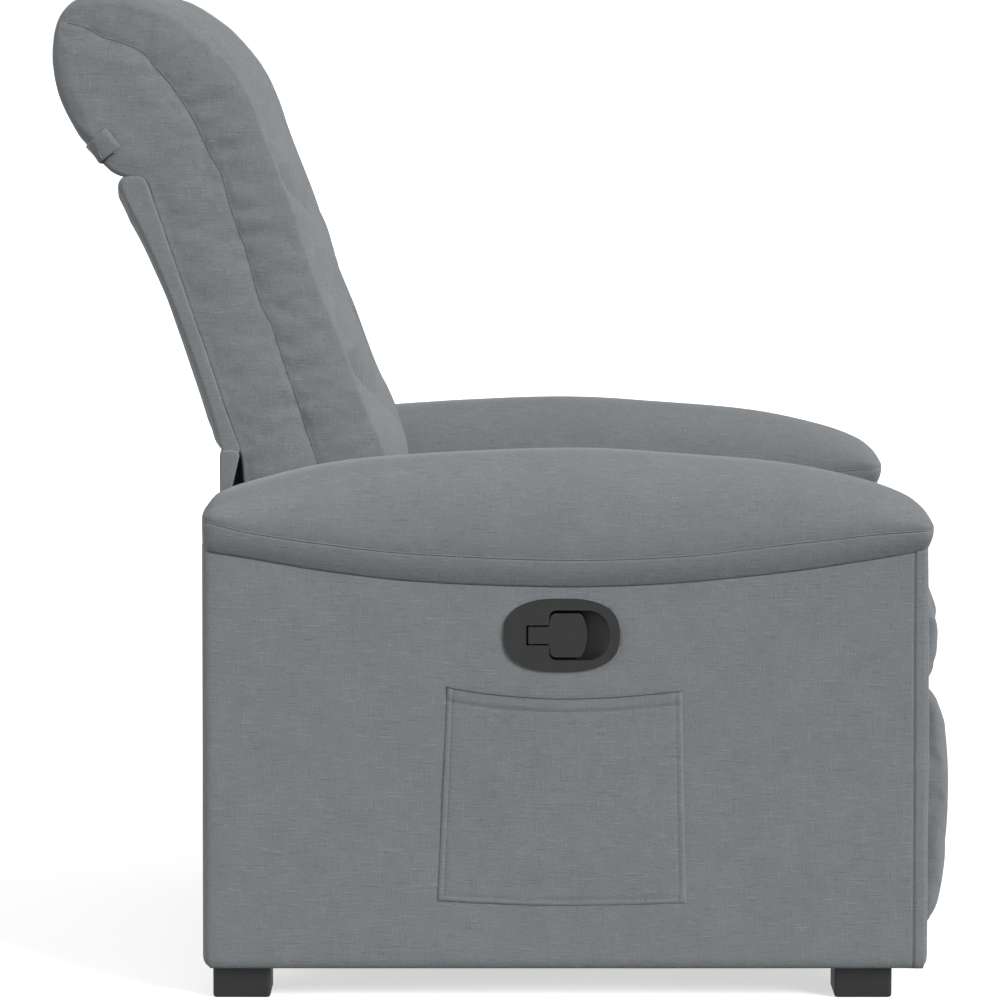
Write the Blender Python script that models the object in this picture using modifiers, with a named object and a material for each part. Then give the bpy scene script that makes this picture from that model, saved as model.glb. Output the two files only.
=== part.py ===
"""Recliner armchair: two padded box arms, a sliding seat, a tilting back and a fold-out footrest.

Metres, +Z up. The chair faces -Y, the sitter's right arm (with the latch and the pocket) is on -X,
and the origin is on the floor under the middle of the chair. A distance called "forward" is -Y.
"""

import math

import bpy
from mathutils import Matrix, Vector

# ---------------------------------------------------------------- driving dimensions
GAP = 0.0003                        # left between pieces that meet
SIDES = {"right": -1, "left": 1}    # the sitter's right is -X

# Arms
ARM_INNER = 0.262                   # inner face of an arm, from the middle plane
ARM_OUTER = 0.373                   # outer face of an arm's side panel
PAD_OUTER = 0.385                   # outer edge of an arm's pad
ARM_FRONT = -0.4276
ARM_REAR = 0.298
BOARD = 0.012                       # thickness of an arm's boards
FRONT_PANEL = 0.013
PANEL_BOTTOM = 0.040
POST = 0.040
# Rows along an arm, rear to front: y, underside of the band, seam above the band, top of the pad
ARM_ROWS = [
    (0.298, 0.4565, 0.4880, 0.4930),
    (0.286, 0.4546, 0.4848, 0.5070),
    (0.252, 0.4494, 0.4762, 0.5205),
    (0.180, 0.4368, 0.4650, 0.5380),
    (0.090, 0.4262, 0.4550, 0.5482),
    (-0.060, 0.4200, 0.4485, 0.5546),
    (-0.180, 0.4240, 0.4520, 0.5492),
    (-0.290, 0.4355, 0.4645, 0.5385),
    (-0.370, 0.4472, 0.4735, 0.5215),
    (-0.410, 0.4540, 0.4768, 0.5062),
    (-0.428, 0.4570, 0.4779, 0.4920),
    (-0.4335, 0.4580, 0.4785, 0.4830),
]
PAD_INNER = 0.2605
TOP_GAP = 0.0008                    # between the panels and the band that rests on them
BAND_OUTER = 0.381
BAND_ENDS = (0.2975, -0.4277)

# Base
FOOT = 0.058
FOOT_X = 0.329
FOOT_Y = (0.261, -0.367)
RAIL_FRONT_Y = (-0.155, -0.135)
RAIL_REAR_Y = (0.250, 0.272)
SKIRT_Y = (0.2745, 0.284)
SKIRT_Z = (0.045, 0.5425)

# Seat
SEAT_HALF = 0.2525
SEAT_FRAME_Z = (0.334, 0.360)
SEAT_FRONT_Y = (-0.365, -0.345)
SEAT_REAR_Y = (0.130, 0.155)
SPRINGS_X = (-0.14, 0.0, 0.14)
SPRING_WIRE = 0.0018

# Back: it turns about RECLINE_PIVOT (y, z)
RECLINE_PIVOT = (0.130, 0.400)
BACK_HALF = 0.2525
BACK_SEAM = ((0.2665, 0.546), (0.362, 0.8265))     # line where cushion and rear panel meet
BACK_BOARD = 0.0205

# Footrest linkage on the seat, in (forward, z) at rest
STEEL = 0.003
LAYER_A = 0.2250                    # middle of each plate's thickness, outermost first
LAYER_B = 0.2200
LAYER_C = 0.2150
LAYER_D = 0.2100
CRANK = 0.221                       # length of both cranks
CRANK_ANGLE = math.radians(-105.3)
CRANK_BASE = (0.05, 0.035)          # from the rear crank's pivot to the front crank's
P0 = (0.260, 0.277)
P2 = (0.385, 0.185)
SMALL_CRANK = 0.040
LINK_R = 0.011
DRAG_R = 0.010
PIN_R = 0.004
PIN_PLAY = 0.0005
FOOT_BOARD_F = (0.4085, 0.4282)
FOOT_PAD_F = (0.4286, 0.455)
FOOT_PAD_Z = (0.0635, 0.303)

# Latch in the right arm's side panel, centred at LATCH (y, z)
LATCH = (-0.0613, 0.3720)
LATCH_HALF = (0.0583, 0.0365)
LATCH_PIN = (-0.3720, -0.0322)      # x, y of the lever's upright pin
LATCH_PIN_Z = (0.3545, 0.3890)

# ---------------------------------------------------------------- scene, materials
for old in list(bpy.data.objects):
    bpy.data.objects.remove(old, do_unlink=True)

CHAIR = bpy.data.collections.new("recliner_armchair")
CUTTERS = bpy.data.collections.new("cutters")
for group in (CHAIR, CUTTERS):
    bpy.context.scene.collection.children.link(group)


def material(name, colour, roughness, metallic=0.0):
    made = bpy.data.materials.new(name)
    made.use_nodes = True
    shader = made.node_tree.nodes["Principled BSDF"]
    shader.inputs["Base Color"].default_value = (*colour, 1.0)
    shader.inputs["Roughness"].default_value = roughness
    shader.inputs["Metallic"].default_value = metallic
    made.diffuse_color = (*colour, 1.0)
    return made


FABRIC = material("grey_fabric", (0.19, 0.20, 0.21), 0.95)
WOOD = material("pine", (0.50, 0.36, 0.21), 0.70)
STEEL_BLACK = material("black_steel", (0.03, 0.03, 0.03), 0.45, 0.6)
STEEL_BRIGHT = material("zinc_steel", (0.60, 0.60, 0.58), 0.35, 1.0)
PLASTIC = material("dark_plastic", (0.035, 0.035, 0.035), 0.40)


def pivot_empty(name, y, z, x=0.0):
    """An empty on a joint's axis, which the pieces of that body are parented to."""
    empty = bpy.data.objects.new(name, None)
    empty.location = (x, y, z)
    empty.empty_display_size = 0.03
    CHAIR.objects.link(empty)
    return empty


def keep(obj, name, look, body=None):
    """Name a finished piece, give it its material and hang it on its body's empty."""
    obj.name = name
    obj.data.name = name
    for group in list(obj.users_collection):
        group.objects.unlink(obj)
    CHAIR.objects.link(obj)
    obj.data.materials.clear()
    obj.data.materials.append(look)
    if body is not None:
        obj.parent = body
        obj.matrix_parent_inverse = Matrix.Translation(body.location).inverted()
    return obj


def as_tool(obj, name):
    """Put an object that only cuts or joins another in the cutters' collection."""
    obj.name = name
    for group in list(obj.users_collection):
        group.objects.unlink(obj)
    CUTTERS.objects.link(obj)
    obj.hide_render = True
    obj.display_type = "WIRE"
    return obj


def combine(obj, tool, operation):
    modifier = obj.modifiers.new(tool.name, "BOOLEAN")
    modifier.operation = operation
    modifier.object = as_tool(tool, f"{obj.name}_{tool.name}")
    return obj


# ---------------------------------------------------------------- shapes
def box(low, high, bevel=0.0, segments=2):
    """A box between two corners, with its edges rounded where bevel is given."""
    middle = [(a + b) / 2 for a, b in zip(low, high)]
    bpy.ops.mesh.primitive_cube_add(size=1.0, location=middle)
    obj = bpy.context.active_object
    for vertex in obj.data.vertices:
        vertex.co = Vector([c * abs(b - a) for c, a, b in zip(vertex.co, low, high)])
    if bevel:
        rounding = obj.modifiers.new("rounded_edges", "BEVEL")
        rounding.width = bevel
        rounding.segments = segments
    return obj


def side_box(side, x_pair, y_pair, z_pair, bevel=0.0):
    """A box whose x is measured outwards from the middle plane, on one side of the chair."""
    xs = sorted(side * x for x in x_pair)
    return box((xs[0], min(y_pair), min(z_pair)), (xs[1], max(y_pair), max(z_pair)), bevel)


def rod(radius, start, end, sides=16):
    """A cylinder between two points."""
    start, end = Vector(start), Vector(end)
    along = end - start
    bpy.ops.mesh.primitive_cylinder_add(vertices=sides, radius=radius, depth=along.length)
    obj = bpy.context.active_object
    obj.rotation_mode = "QUATERNION"
    obj.rotation_quaternion = along.to_track_quat("Z", "Y")
    obj.location = (start + end) / 2
    bpy.context.view_layer.update()
    return obj


def outline(loops, x_middle, thickness):
    """A flat plate from closed (y, z) loops; loops after the first are holes."""
    curve = bpy.data.curves.new("outline", "CURVE")
    curve.dimensions = "2D"
    curve.fill_mode = "BOTH"
    curve.extrude = thickness / 2
    for loop in loops:
        spline = curve.splines.new("POLY")
        spline.points.add(len(loop) - 1)
        for point, (y, z) in zip(spline.points, loop):
            point.co = (y, z, 0.0, 1.0)
        spline.use_cyclic_u = True
    obj = bpy.data.objects.new("outline", curve)
    obj.location = (x_middle, 0.0, 0.0)
    obj.rotation_euler = (math.pi / 2, 0.0, math.pi / 2)
    CHAIR.objects.link(obj)
    return obj


def solid_outline(loops, x_middle, thickness, name):
    """The same plate as a mesh, so that Boolean modifiers can work on it."""
    flat = outline(loops, x_middle, thickness)
    bpy.context.view_layer.update()
    evaluated = flat.evaluated_get(bpy.context.evaluated_depsgraph_get())
    mesh = bpy.data.meshes.new_from_object(evaluated)
    obj = bpy.data.objects.new(name, mesh)
    obj.matrix_world = flat.matrix_world
    CHAIR.objects.link(obj)
    bpy.data.objects.remove(flat, do_unlink=True)
    weld = obj.modifiers.new("weld_caps", "WELD")
    weld.merge_threshold = 0.00001
    return obj


def wire(points, radius):
    """A round wire along a polyline."""
    curve = bpy.data.curves.new("wire", "CURVE")
    curve.dimensions = "3D"
    curve.bevel_depth = radius
    curve.bevel_resolution = 2
    curve.use_fill_caps = True
    spline = curve.splines.new("POLY")
    spline.points.add(len(points) - 1)
    for point, place in zip(spline.points, points):
        point.co = (*place, 1.0)
    obj = bpy.data.objects.new("wire", curve)
    CHAIR.objects.link(obj)
    return obj


def circle(centre, radius, sides=16):
    turn = 2 * math.pi / sides
    return [(centre[0] + radius * math.cos(i * turn), centre[1] + radius * math.sin(i * turn))
            for i in range(sides)]


def hull(points):
    """Convex outline round a set of (y, z) points, anticlockwise."""
    ordered = sorted(set(points))

    def half(sequence):
        chain = []
        for p in sequence:
            while len(chain) > 1 and cross(chain[-2], chain[-1], p) <= 1e-12:
                chain.pop()
            chain.append(p)
        return chain[:-1]

    def cross(o, a, b):
        return (a[0] - o[0]) * (b[1] - o[1]) - (a[1] - o[1]) * (b[0] - o[0])

    return half(ordered) + half(reversed(ordered))


def superellipse(centre, half_size, power, sides):
    """A rounded-box outline; power 2 is an ellipse, and more is squarer."""
    loop = []
    for i in range(sides):
        angle = 2 * math.pi * i / sides
        c, s = math.cos(angle), math.sin(angle)
        loop.append((centre[0] + half_size[0] * math.copysign(abs(c) ** (2 / power), c),
                     centre[1] + half_size[1] * math.copysign(abs(s) ** (2 / power), s)))
    return loop


def loft(rings):
    """A closed solid through rings of equally many points, with flat ends."""
    count = len(rings[0])
    vertices = [point for ring in rings for point in ring]
    faces = []
    for r in range(len(rings) - 1):
        for i in range(count):
            j = (i + 1) % count
            faces.append((r * count + i, r * count + j, (r + 1) * count + j, (r + 1) * count + i))
    faces.append(tuple(reversed(range(count))))
    faces.append(tuple((len(rings) - 1) * count + i for i in range(count)))
    mesh = bpy.data.meshes.new("loft")
    mesh.from_pydata(vertices, [], faces)
    obj = bpy.data.objects.new("loft", mesh)
    CHAIR.objects.link(obj)
    return obj


# ---------------------------------------------------------------- arms
def arm_row(y):
    """Band underside, seam and pad top at y, smooth through ARM_ROWS."""
    rows = ARM_ROWS
    i = 0
    while i < len(rows) - 2 and y < rows[i + 1][0]:
        i += 1
    a, b = rows[i], rows[i + 1]
    before = rows[max(i - 1, 0)]
    after = rows[min(i + 2, len(rows) - 1)]
    span = b[0] - a[0]
    t = (y - a[0]) / span
    values = []
    for k in (1, 2, 3):
        slope_a = (b[k] - before[k]) / (b[0] - before[0]) * span
        slope_b = (after[k] - a[k]) / (after[0] - a[0]) * span
        values.append((2 * t**3 - 3 * t**2 + 1) * a[k] + (t**3 - 2 * t**2 + t) * slope_a
                      + (3 * t**2 - 2 * t**3) * b[k] + (t**3 - t**2) * slope_b)
    return values


ARM_YS = [BAND_ENDS[0] + (BAND_ENDS[1] - BAND_ENDS[0]) * i / 17 for i in range(18)]


def panel_loop(bottom, corner, rear=ARM_REAR, front=ARM_FRONT + FRONT_PANEL + GAP):
    """Outline of a side panel: round lower corners, and a top that follows the band."""
    loop = []
    for centre_y, first in ((rear - corner, 0.0), (front + corner, -90.0)):
        for i in range(4):
            angle = math.radians(first - 30.0 * i)
            loop.append((centre_y + corner * math.cos(angle), bottom + corner + corner * math.sin(angle)))
    between = [y for y in ARM_YS if front + 0.005 < y < rear - 0.005]
    for y in [front, *reversed(between), rear]:
        loop.append((y, arm_row(y)[0] - TOP_GAP))
    return loop


def arm_pad(side):
    """Domed pad: each section rises from the seam in a rounded arch."""
    middle = (PAD_INNER + PAD_OUTER) / 2
    half = (PAD_OUTER - PAD_INNER) / 2
    rings = []
    for y in [*ARM_YS, ARM_ROWS[-1][0]]:
        seam, top = arm_row(y)[1:]
        ring = []
        for i in range(11):
            angle = math.pi * i / 10
            c, s = math.cos(angle), max(math.sin(angle), 0.0)
            x = middle + half * math.copysign(abs(c) ** 0.8, c)
            ring.append((side * x, y, seam + GAP + (top - seam) * s ** 0.8))
        rings.append(ring if side > 0 else ring[::-1])
    return loft(rings)


def arm_band(side):
    """Band between the side panels and the pad, as deep as the arm."""
    under = [(y, arm_row(y)[0]) for y in ARM_YS]
    over = [(y, arm_row(y)[1]) for y in reversed(ARM_YS)]
    x_in = ARM_INNER - 0.0008
    return outline([under + over], side * (x_in + BAND_OUTER) / 2, BAND_OUTER - x_in)


def build_arm(word, side):
    outer_loops = [panel_loop(PANEL_BOTTOM, 0.010)]
    inner_loops = [panel_loop(0.052, 0.004)]
    if side < 0:
        cup = [(y - 0.001 if y < LATCH[0] else y + 0.001, z + (0.001 if z > LATCH[1] else -0.001))
               for y, z in cup_loop()]
        outer_loops.append(cup)
        inner_loops.append(circle(CABLE_HOLE, 0.005, 12))
    outer = outline(outer_loops, side * (ARM_OUTER - BOARD / 2), BOARD)
    keep(outer, f"{word}_arm_outer_panel", FABRIC)
    inner = outline(inner_loops, side * (ARM_INNER + BOARD / 2), BOARD)
    keep(inner, f"{word}_arm_inner_panel", FABRIC)
    front_top = arm_row(ARM_FRONT + FRONT_PANEL)[0] - TOP_GAP
    front = side_box(side, (ARM_INNER, ARM_OUTER), (ARM_FRONT, ARM_FRONT + FRONT_PANEL),
                     (PANEL_BOTTOM, front_top), 0.004)
    keep(front, f"{word}_arm_front_panel", FABRIC)
    rear_x = (ARM_INNER + BOARD + GAP, ARM_OUTER - BOARD - GAP)
    rear_top = arm_row(ARM_REAR - BOARD)[0] - TOP_GAP
    rear = side_box(side, rear_x, (ARM_REAR - BOARD, ARM_REAR), (PANEL_BOTTOM, rear_top))
    keep(rear, f"{word}_arm_rear_panel", FABRIC)
    keep(arm_band(side), f"{word}_arm_band", FABRIC)
    keep(arm_pad(side), f"{word}_arm_pad", FABRIC)
    post_x = (rear_x[0], rear_x[0] + POST)
    front_y = ARM_FRONT + FRONT_PANEL + GAP
    rear_y = ARM_REAR - BOARD - GAP
    for place, ys in (("front", (front_y, front_y + POST)), ("rear", (rear_y - POST, rear_y))):
        top = min(arm_row(y)[0] for y in ys) - 0.004
        keep(side_box(side, post_x, ys, (PANEL_BOTTOM + GAP, top)), f"{word}_arm_{place}_post", WOOD)


# ---------------------------------------------------------------- base
def build_base(word, side):
    for place, y in zip(("rear", "front"), FOOT_Y):
        foot = side_box(side, (FOOT_X - FOOT / 2, FOOT_X + FOOT / 2), (y - FOOT / 2, y + FOOT / 2),
                        (0.0, PANEL_BOTTOM - GAP), 0.003)
        keep(foot, f"{word}_{place}_foot", PLASTIC)
    steel_side_plate(word, side)


def steel_side_plate(word, side):
    """Plate on the arm's inner face: a ledge for the seat to slide on and a pin for the back."""
    py, pz = RECLINE_PIVOT
    outside = ARM_INNER - GAP
    middle = outside - STEEL / 2
    loop = [(-0.300, 0.290), (0.165, 0.290), (0.165, 0.345), (0.152, 0.400)]
    loop += [(py + 0.022 * math.cos(a), pz + 0.022 * math.sin(a))
             for a in [math.radians(d) for d in range(30, 181, 30)]]
    loop += [(0.100, 0.345), (0.080, 0.330), (-0.300, 0.330)]
    plate = solid_outline([loop], side * middle, STEEL, f"{word}_base_plate")
    ledge = side_box(side, (0.2335, middle), (-0.300, 0.080), (0.3295, 0.3325))
    combine(plate, ledge, "UNION")
    pin = rod(0.006, (side * middle, py, pz), (side * 0.2532, py, pz))
    combine(plate, pin, "UNION")
    keep(plate, f"{word}_base_side_plate", STEEL_BLACK)


def build_cross_rails():
    half = ARM_INNER - GAP
    rails = {"base_front_rail": (RAIL_FRONT_Y, (0.055, 0.100)),
             "base_rear_rail": (RAIL_REAR_Y, (0.055, 0.110)),
             "base_upper_rail": (RAIL_REAR_Y, (0.325, 0.375))}
    for name, (ys, zs) in rails.items():
        keep(box((-half, ys[0], zs[0]), (half, ys[1], zs[1])), name, WOOD)
    skirt = box((-0.2515, SKIRT_Y[0], SKIRT_Z[0]), (0.2515, SKIRT_Y[1], SKIRT_Z[1]))
    keep(skirt, "rear_skirt", FABRIC)


# ---------------------------------------------------------------- latch, cable, pocket
CABLE_HOLE = (-0.070, 0.255)


def cup_loop():
    """Outline of the latch's cup behind its flange."""
    return superellipse(LATCH, (LATCH_HALF[0] - 0.0065, LATCH_HALF[1] - 0.0065), 3.2, 28)


def recess_loop():
    """Hollow round the lever's paddle, with a big radius at its front end."""
    top, bottom, rear, front = 0.3970, 0.3465, -0.0462, -0.1088
    radius = 0.012
    loop = [(rear, bottom + 0.013), (rear - 0.004, bottom)]
    for z, first in ((bottom + radius, -90), (top - radius, 180)):
        for i in range(4):
            angle = math.radians(first - 30 * i)
            loop.append((front + radius + radius * math.cos(angle), z + radius * math.sin(angle)))
    return loop + [(rear - 0.004, top), (rear, top - 0.013)]


def build_latch(lever_body):
    pin_x, pin_y = LATCH_PIN
    flange = (-0.3770, -(ARM_OUTER + GAP))
    bezel = solid_outline([superellipse(LATCH, LATCH_HALF, 3.0, 40)], sum(flange) / 2,
                          flange[1] - flange[0], "bezel")
    cup = solid_outline([cup_loop()], -0.3620, 0.0240, "cup")
    combine(bezel, cup, "UNION")
    recess = solid_outline([recess_loop()], -0.3735, 0.0400, "recess")
    combine(bezel, recess, "DIFFERENCE")
    slot = box((-0.3900, -0.0520, 0.3603), (-0.3630, -0.0240, 0.3832))
    combine(bezel, slot, "DIFFERENCE")
    pin_hole = rod(0.0019, (pin_x, pin_y, LATCH_PIN_Z[0] - 0.001), (pin_x, pin_y, LATCH_PIN_Z[1] + 0.001))
    combine(bezel, pin_hole, "DIFFERENCE")
    keep(bezel, "latch_bezel", PLASTIC)
    pin = rod(0.0015, (pin_x, pin_y, LATCH_PIN_Z[0]), (pin_x, pin_y, LATCH_PIN_Z[1]), 12)
    keep(pin, "latch_pin", STEEL_BRIGHT)

    stem_z = (0.3633, 0.3802)
    paddle_z = (0.3500, 0.3935)
    loop = [(-0.0290, stem_z[0]), (-0.0290, stem_z[1]), (-0.0478, stem_z[1]), (-0.0512, paddle_z[1] - 0.002),
            (-0.0535, paddle_z[1]), (-0.0785, paddle_z[1]), (-0.0812, paddle_z[1] - 0.002)]
    bulge = 0.0050
    for i in range(1, 6):
        t = i / 6
        z = paddle_z[1] - 0.002 + (paddle_z[0] - paddle_z[1] + 0.004) * t
        loop.append((-0.0812 - bulge * math.sin(math.pi * t), z))
    loop += [(-0.0812, paddle_z[0] + 0.002), (-0.0785, paddle_z[0]), (-0.0535, paddle_z[0]),
             (-0.0512, paddle_z[0] + 0.002), (-0.0478, stem_z[0])]
    lever = solid_outline([loop], -0.3740, 0.0050, "lever")
    hub = rod(0.0036, (pin_x, pin_y, stem_z[0]), (pin_x, pin_y, stem_z[1]))
    combine(lever, hub, "UNION")
    bore = rod(0.0019, (pin_x, pin_y, stem_z[0] - 0.002), (pin_x, pin_y, stem_z[1] + 0.002))
    combine(lever, bore, "DIFFERENCE")
    keep(lever, "latch_lever", PLASTIC, lever_body)


def build_cable():
    """Release cable inside the right arm, from the latch's cup to the steel side plate."""
    hole_y, hole_z = CABLE_HOLE
    route = [(-0.3496, -0.075, 0.372), (-0.340, -0.075, 0.372), (-0.326, -0.0755, 0.366),
             (-0.316, -0.076, 0.350), (-0.312, -0.076, 0.325), (-0.311, -0.075, 0.300),
             (-0.307, -0.073, 0.277), (-0.297, -0.071, 0.261), (-0.284, hole_y, hole_z),
             (-0.272, hole_y, hole_z), (-0.26205, hole_y, hole_z)]
    keep(wire(route, 0.0025), "release_cable", STEEL_BLACK)


def build_pocket():
    """Open-topped pocket: a front sheet held off the panel by its two sides and its bottom."""
    rear, front, low = 0.062, -0.185, 0.107
    top_edge = [(-0.181, 0.3182), (-0.150, 0.3150), (-0.105, 0.3122), (-0.049, 0.3112),
                (0.006, 0.3150), (0.0458, 0.3205)]
    bag = solid_outline([[(front, low), *top_edge, (rear, low)]], -0.3789, 0.0112, "pocket")
    wall = 0.0025
    hollow = [(front + 0.004 + wall, low + wall), (-0.177, 0.345), (0.0415, 0.345),
              (rear - wall - 0.001, low + wall)]
    room = solid_outline([hollow], -0.3715, 0.0200, "room")
    combine(bag, room, "DIFFERENCE")
    keep(bag, "side_pocket", FABRIC)


# ---------------------------------------------------------------- seat
def build_seat(body):
    loop = [(0.170, 0.3670), (0.170, 0.446), (0.160, 0.452), (0.060, 0.457), (-0.080, 0.462),
            (-0.250, 0.463), (-0.370, 0.459), (-0.420, 0.447), (-0.442, 0.420), (-0.449, 0.380),
            (-0.446, 0.340), (-0.434, 0.317), (-0.416, 0.311), (-0.398, 0.314), (-0.388, 0.330),
            (-0.372, 0.3670)]
    keep(outline([loop], 0.0, 2 * SEAT_HALF), "seat_cushion", FABRIC, body)
    low, high = SEAT_FRAME_Z
    inside = 0.2270
    for name, ys in (("seat_front_rail", SEAT_FRONT_Y), ("seat_rear_rail", SEAT_REAR_Y)):
        keep(box((-inside + GAP, ys[0], low), (inside - GAP, ys[1], high)), name, WOOD, body)
    for word, side in SIDES.items():
        rail = side_box(side, (inside, SEAT_HALF), (SEAT_FRONT_Y[0], SEAT_REAR_Y[1]), (low, high))
        keep(rail, f"{word}_seat_side_rail", WOOD, body)
    for number, x in enumerate(SPRINGS_X, 1):
        keep(zigzag_spring(x), f"seat_spring_{number}", STEEL_BLACK, body)
    for word, side in SIDES.items():
        mount_plate(word, side, body)


def zigzag_spring(x):
    """Sinuous wire from the front rail to the rear rail."""
    start, end = SEAT_FRONT_Y[0] + 0.006, SEAT_REAR_Y[1] - 0.006
    height = SEAT_FRAME_Z[1] + GAP + SPRING_WIRE
    waves, per_wave, reach = 8, 4, 0.022
    count = waves * per_wave
    points = []
    for i in range(count + 1):
        y = start + (end - start) * i / count
        points.append((x + reach * math.sin(2 * math.pi * i / per_wave), y, height))
    return wire(points, SPRING_WIRE)


# ---------------------------------------------------------------- footrest linkage
def yz(point):
    """(forward, z) to (y, z)."""
    return (-point[0], point[1])


def plus(a, b, scale=1.0):
    return (a[0] + scale * b[0], a[1] + scale * b[1])


CRANK_VECTOR = (CRANK * math.cos(CRANK_ANGLE), CRANK * math.sin(CRANK_ANGLE))
Q0 = plus(P0, CRANK_BASE)
P1 = plus(P0, CRANK_VECTOR)
Q1 = plus(Q0, CRANK_VECTOR)
R1 = plus(Q1, CRANK_VECTOR, -SMALL_CRANK / CRANK)
R2 = plus(P2, CRANK_VECTOR, -SMALL_CRANK / CRANK)


def link(name, side, layer, pivots, radius, holes=(), pins=(), extra=()):
    """A steel strip round its pivots, with holes, and with pins that reach into the next layer in."""
    rim = hull([p for pivot in pivots for p in circle(yz(pivot), radius)] + [yz(p) for p in extra])
    loops = [rim] + [circle(yz(hole), PIN_R + PIN_PLAY) for hole in holes]
    obj = solid_outline(loops, side * layer, STEEL, name)
    for number, pin in enumerate(pins, 1):
        y, z = yz(pin)
        peg = rod(PIN_R, (side * (layer - 0.0005), y, z), (side * (layer - 0.0068), y, z))
        peg.name = f"pin_{number}"
        combine(obj, peg, "UNION")
    return obj


def mount_plate(word, side, body):
    """Plate under the seat's side rail that carries both cranks."""
    extra = [(0.235, 0.333), (0.335, 0.333), (0.235, 0.300)]
    plate = link("mount", side, LAYER_A, (P0, Q0), LINK_R, (), (P0, Q0), extra)
    keep(plate, f"{word}_seat_plate", STEEL_BLACK, body)


def build_linkage(bodies):
    for word, side in SIDES.items():
        rear = link("rear", side, LAYER_B, (P0, P1), LINK_R, (P0,), (P1,))
        keep(rear, f"{word}_rear_link", STEEL_BLACK, bodies["rear_links"])
        front = link("front", side, LAYER_B, (Q0, Q1), LINK_R, (Q0,), (Q1, R1))
        keep(front, f"{word}_front_link", STEEL_BLACK, bodies["front_links"])
        coupler = link("coupler", side, LAYER_C, (P1, Q1, P2), DRAG_R, (P1, Q1), (P2,))
        keep(coupler, f"{word}_coupler", STEEL_BLACK, bodies["couplers"])
        drag = link("drag", side, LAYER_C, (R1, R2), DRAG_R, (R1,), (R2,))
        keep(drag, f"{word}_drag_link", STEEL_BLACK, bodies["drag_links"])
        back = FOOT_BOARD_F[0] - GAP
        bracket = link("bracket", side, LAYER_D, (P2, R2), DRAG_R, (P2, R2), (),
                       [(back, 0.140), (back, 0.260)])
        keep(bracket, f"{word}_footrest_bracket", STEEL_BLACK, bodies["footrest"])
    y, z = yz(P0)
    reach = LAYER_B - STEEL / 2 - GAP
    keep(rod(0.009, (-reach, y, z), (reach, y, z), 20), "torque_tube", STEEL_BLACK, bodies["rear_links"])
    board = box((-0.235, -FOOT_BOARD_F[1], 0.078), (0.235, -FOOT_BOARD_F[0], 0.292))
    keep(board, "footrest_board", WOOD, bodies["footrest"])
    pad = box((-SEAT_HALF, -FOOT_PAD_F[1], FOOT_PAD_Z[0]), (SEAT_HALF, -FOOT_PAD_F[0], FOOT_PAD_Z[1]), 0.008)
    keep(pad, "footrest_pad", FABRIC, bodies["footrest"])


# ---------------------------------------------------------------- back
def seam_y(z):
    (y0, z0), (y1, z1) = BACK_SEAM
    return y0 + (y1 - y0) * (z - z0) / (z1 - z0)


def build_back(body):
    under_head = 0.829
    front = [(0.085, 0.464), (0.114, 0.543), (0.148, 0.630), (0.187, 0.725), (0.218, 0.8215),
             (0.246, 0.896), (0.270, 0.945), (0.305, 0.988), (0.345, 1.010), (0.382, 1.015),
             (0.420, 1.009), (0.443, 0.990), (0.455, 0.955), (0.4525, 0.918), (0.439, 0.884),
             (0.415, 0.852), (0.390, under_head)]
    board_front = BACK_BOARD + GAP
    rear = [(seam_y(z) - board_front, z) for z in (under_head, 0.650, 0.488)]
    keep(outline([front + rear], 0.0, 2 * BACK_HALF), "back_cushion", FABRIC, body)

    low, high = 0.475, under_head - 0.004
    board = [(seam_y(low) - BACK_BOARD, low), (seam_y(high) - BACK_BOARD, high), (seam_y(high), high),
             (seam_y(low), low)]
    keep(outline([board], 0.0, 2 * 0.236), "back_board", WOOD, body)

    outer = [(0.285, 0.545), (0.308, 0.622), (0.339, 0.709), (0.372, 0.787), (0.386, 0.816), (0.380, 0.8245)]
    inner = [(seam_y(z) + GAP, z) for z in (0.8245, 0.680, 0.545)]
    keep(outline([outer + inner], 0.0, 2 * 0.2505), "back_panel", FABRIC, body)

    py, pz = RECLINE_PIVOT
    for word, side in SIDES.items():
        arm = hull(circle((py, pz), 0.018) + circle((0.222, 0.486), 0.016))
        plate = solid_outline([arm, circle((py, pz), 0.0065)], side * 0.2560, STEEL, "bracket")
        tie = side_box(side, (0.2362, 0.2560), (0.214, 0.234), (0.4765, 0.4840))
        combine(plate, tie, "UNION")
        keep(plate, f"{word}_back_bracket", STEEL_BLACK, body)
    build_closure(body)


def build_closure(body):
    """Strap across the back of the head roll, with an end turned onto each side of it."""
    half = BACK_HALF + GAP
    thick = 0.0018
    outer = [(0.4205, 0.8560), (0.4165, 0.8507), (0.4035, 0.8387)]
    inner = [(0.4023, 0.8399), (0.4153, 0.8517), (0.4192, 0.8570)]
    strap = solid_outline([outer + inner], 0.0, 2 * (half + thick), "closure")
    for side in SIDES.values():
        flap = outer + [(0.3876, 0.8592), (0.4009, 0.8756)]
        end = solid_outline([flap], side * (half + thick / 2), thick, "end")
        combine(strap, end, "UNION")
    keep(strap, "closure_strap", FABRIC, body)


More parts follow.
